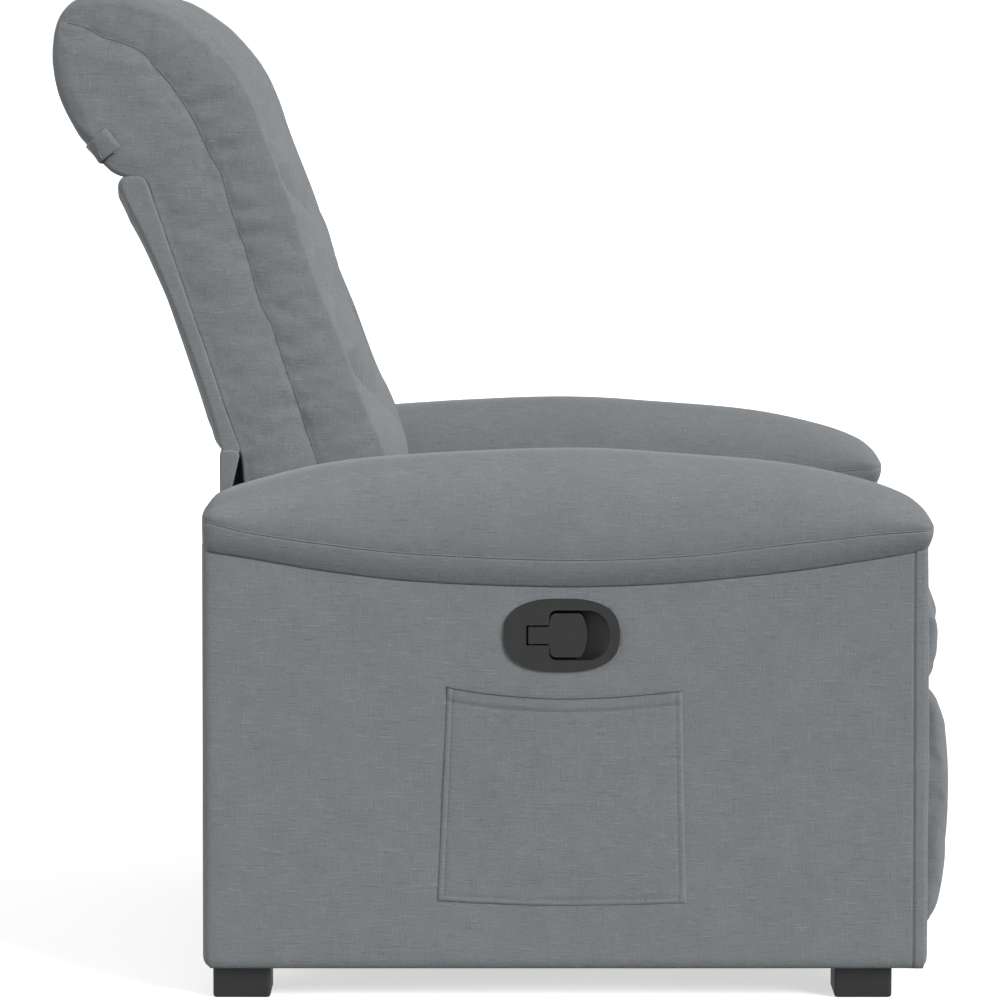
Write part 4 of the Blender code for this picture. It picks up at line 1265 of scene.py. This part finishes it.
def build_back_panel():
    """Firm upholstered panel behind the back, with a soft rolled top."""
    outer = [(0.2745, 0.5432), (0.283, 0.5434), (0.2868, 0.5475), (0.2938, 0.564), (0.3095, 0.612),
             (0.3268, 0.661), (0.3452, 0.71), (0.3662, 0.759), (0.3788, 0.784), (0.388, 0.806),
             (0.3898, 0.814), (0.3885, 0.8205), (0.384, 0.8252), (0.377, 0.8283), (0.369, 0.829),
             (0.363, 0.8272), (0.3592, 0.824)]
    inner = [(0.2745, 0.5432), (0.2665, 0.5434), (0.2646, 0.548), (0.27, 0.565), (0.2838, 0.6045),
             (0.3143, 0.694), (0.3478, 0.793), (0.357, 0.818), (0.3592, 0.824)]
    outside = smooth_line(outer, 96)
    inside = smooth_line(inner, 96)
    outer_radii = np.interp(outside[:, 1], [0.543, 0.565, 0.8, 0.828], [0.0025, 0.009, 0.009, 0.006])
    inner_radii = np.interp(inside[:, 1], [0.543, 0.565, 0.8, 0.828], [0.0025, 0.005, 0.005, 0.006])
    panel = skin("back_panel_cover", outside, inside, (outer_radii, inner_radii), 0.2522, 0.008, 6)
    co = points_of(panel)
    pinned = np.zeros(len(co))
    pinned[distance_to_line(co[:, 1:], inside)[0] < 0.003] = 1.0
    pinned[np.abs(co[:, 0]) > 0.2515] = 1.0
    inflate(panel, pinned, 3.0, 0.0025)
    subdivide(panel)
    co = points_of(panel)
    steady = np.clip((0.2495 - np.abs(co[:, 0])) / 0.02, 0, 1)
    soft = ripple(co, 8.0, 12) * 0.0012 + ripple(co, 25.0, 13) * 0.0005
    co = co + normals_of(panel) * (soft * steady)[:, None]
    set_points(panel, co)
    dress(panel, "back", "grey_fabric", "back_panel")


def even_line(points, count):
    """Count points evenly spaced along straight segments."""
    p = np.array(points, float)
    along = np.concatenate([[0.0], np.cumsum(np.linalg.norm(np.diff(p, axis=0), axis=1))])
    places = np.linspace(0.0, along[-1], count)
    return np.stack([np.interp(places, along, p[:, k]) for k in (0, 1)], axis=1)


def build_skirt():
    """Lined cloth panel across the rear of the base."""
    foot, top = (0.28, 0.044), (0.276, 0.5465)
    outside = even_line([foot, (0.2855, 0.045), (0.2862, 0.047), (0.2862, 0.542), (0.2855, 0.5452),
                         top], 110)
    inside = even_line([foot, (0.2755, 0.045), (0.2746, 0.047), (0.2746, 0.506), (0.2664, 0.54),
                        (0.2668, 0.545), top], 110)
    radii = np.full(110, 0.0024)
    skirt = skin("skirt", outside, inside, (radii, radii), 0.259, 0.009, 4)
    co = points_of(skirt)
    away = np.clip((0.257 - np.abs(co[:, 0])) / 0.03, 0, 1) * (co[:, 1] > 0.284)
    co[:, 1] += (ripple(co, 6.0, 21) * 0.0016 + ripple(co, 22.0, 22) * 0.0006) * away
    set_points(skirt, co)
    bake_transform(skirt)
    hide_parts("rear_skirt")


# Section of the strap: height over the cloth under it, place across its width
STRAP_SECTION = ((-0.0006, 0.0), (0.0021, 0.0003), (0.0024, 0.0025), (0.0024, 0.021), (0.0021, 0.0233),
                 (-0.0006, 0.0236), (-0.0006, 0.0118))


def build_strap(back):
    """Strap laid on the back of the head roll; its ends lie on the back's sides."""
    tree = surface_of(back)
    half_path = [(0.245, 0.0), (0.256, -0.001), (0.26, -0.01), (0.26, -0.0265)]
    path = smooth_line([(-x, depth) for x, depth in reversed(half_path)] + [(0.0, 0.0)] + half_path, 110)
    upper_edge = np.array((0.4203, 0.8572))
    along = np.array((0.405 - 0.4203, 0.8388 - 0.8572))
    along /= np.linalg.norm(along)
    inward = np.array((along[1], -along[0]))
    rings = []
    # hem collects points for a near-black cord along the strap's lower edge: painted shadow, not a sewn hem
    hem = []
    for x, depth in path:
        ring = []
        y, z = upper_edge + along * 0.0241 - inward * depth
        place, facing, _, _ = tree.find_nearest(Vector((x, y, z)))
        hem.append(tuple(place + facing * 0.0002))
        for lift, s in STRAP_SECTION:
            y, z = upper_edge + along * s - inward * depth
            place, facing, _, _ = tree.find_nearest(Vector((x, y, z)))
            ring.append(tuple(place + facing * lift))
        rings.append(ring)
    # The near-black cord is painted shadow under the strap's lower edge
    cord_line("strap_painted_shadow", hem[2:-2], 0.001, STRAP_SHADOW_LOOK, body="back", sides=1)
    strap = loft("head_strap", rings, GREY)
    dress(strap, "back", "grey_fabric", "closure_strap")


# ================================================================ the frame's own pieces
def finish_frame():
    for name, obj in NODES.items():
        if obj.hide_render:
            continue
        if name.endswith("_foot"):
            look = FOOT_PLASTIC
        elif name == "release_cable":
            look = SHEATH
        elif name == "footrest_board":
            look = GREY
        elif name.endswith(("_post", "_rail", "_board")):
            look = PINE
        else:
            look = ENAMEL
        obj.data.materials.clear()
        obj.data.materials.append(look)


# ================================================================ assembly
add_camera()
add_studio()
build_latch()
for word, side in SIDES.items():
    cover, replaced = arm_cover(word, side)
    if side < 0:
        hole = superellipse(LATCH, HOLE_HALF, 2.9, 64)
        subtract(cover, flat_solid("latch_hole", hole, -0.4, -0.34, GREY))
    dress(cover, "base", "grey_fabric", *replaced)
    arm_cap(word, side)
build_pocket()
build_seat()
build_footrest()
back_cover = build_back()
build_back_panel()
build_skirt()
build_strap(back_cover)
finish_frame()
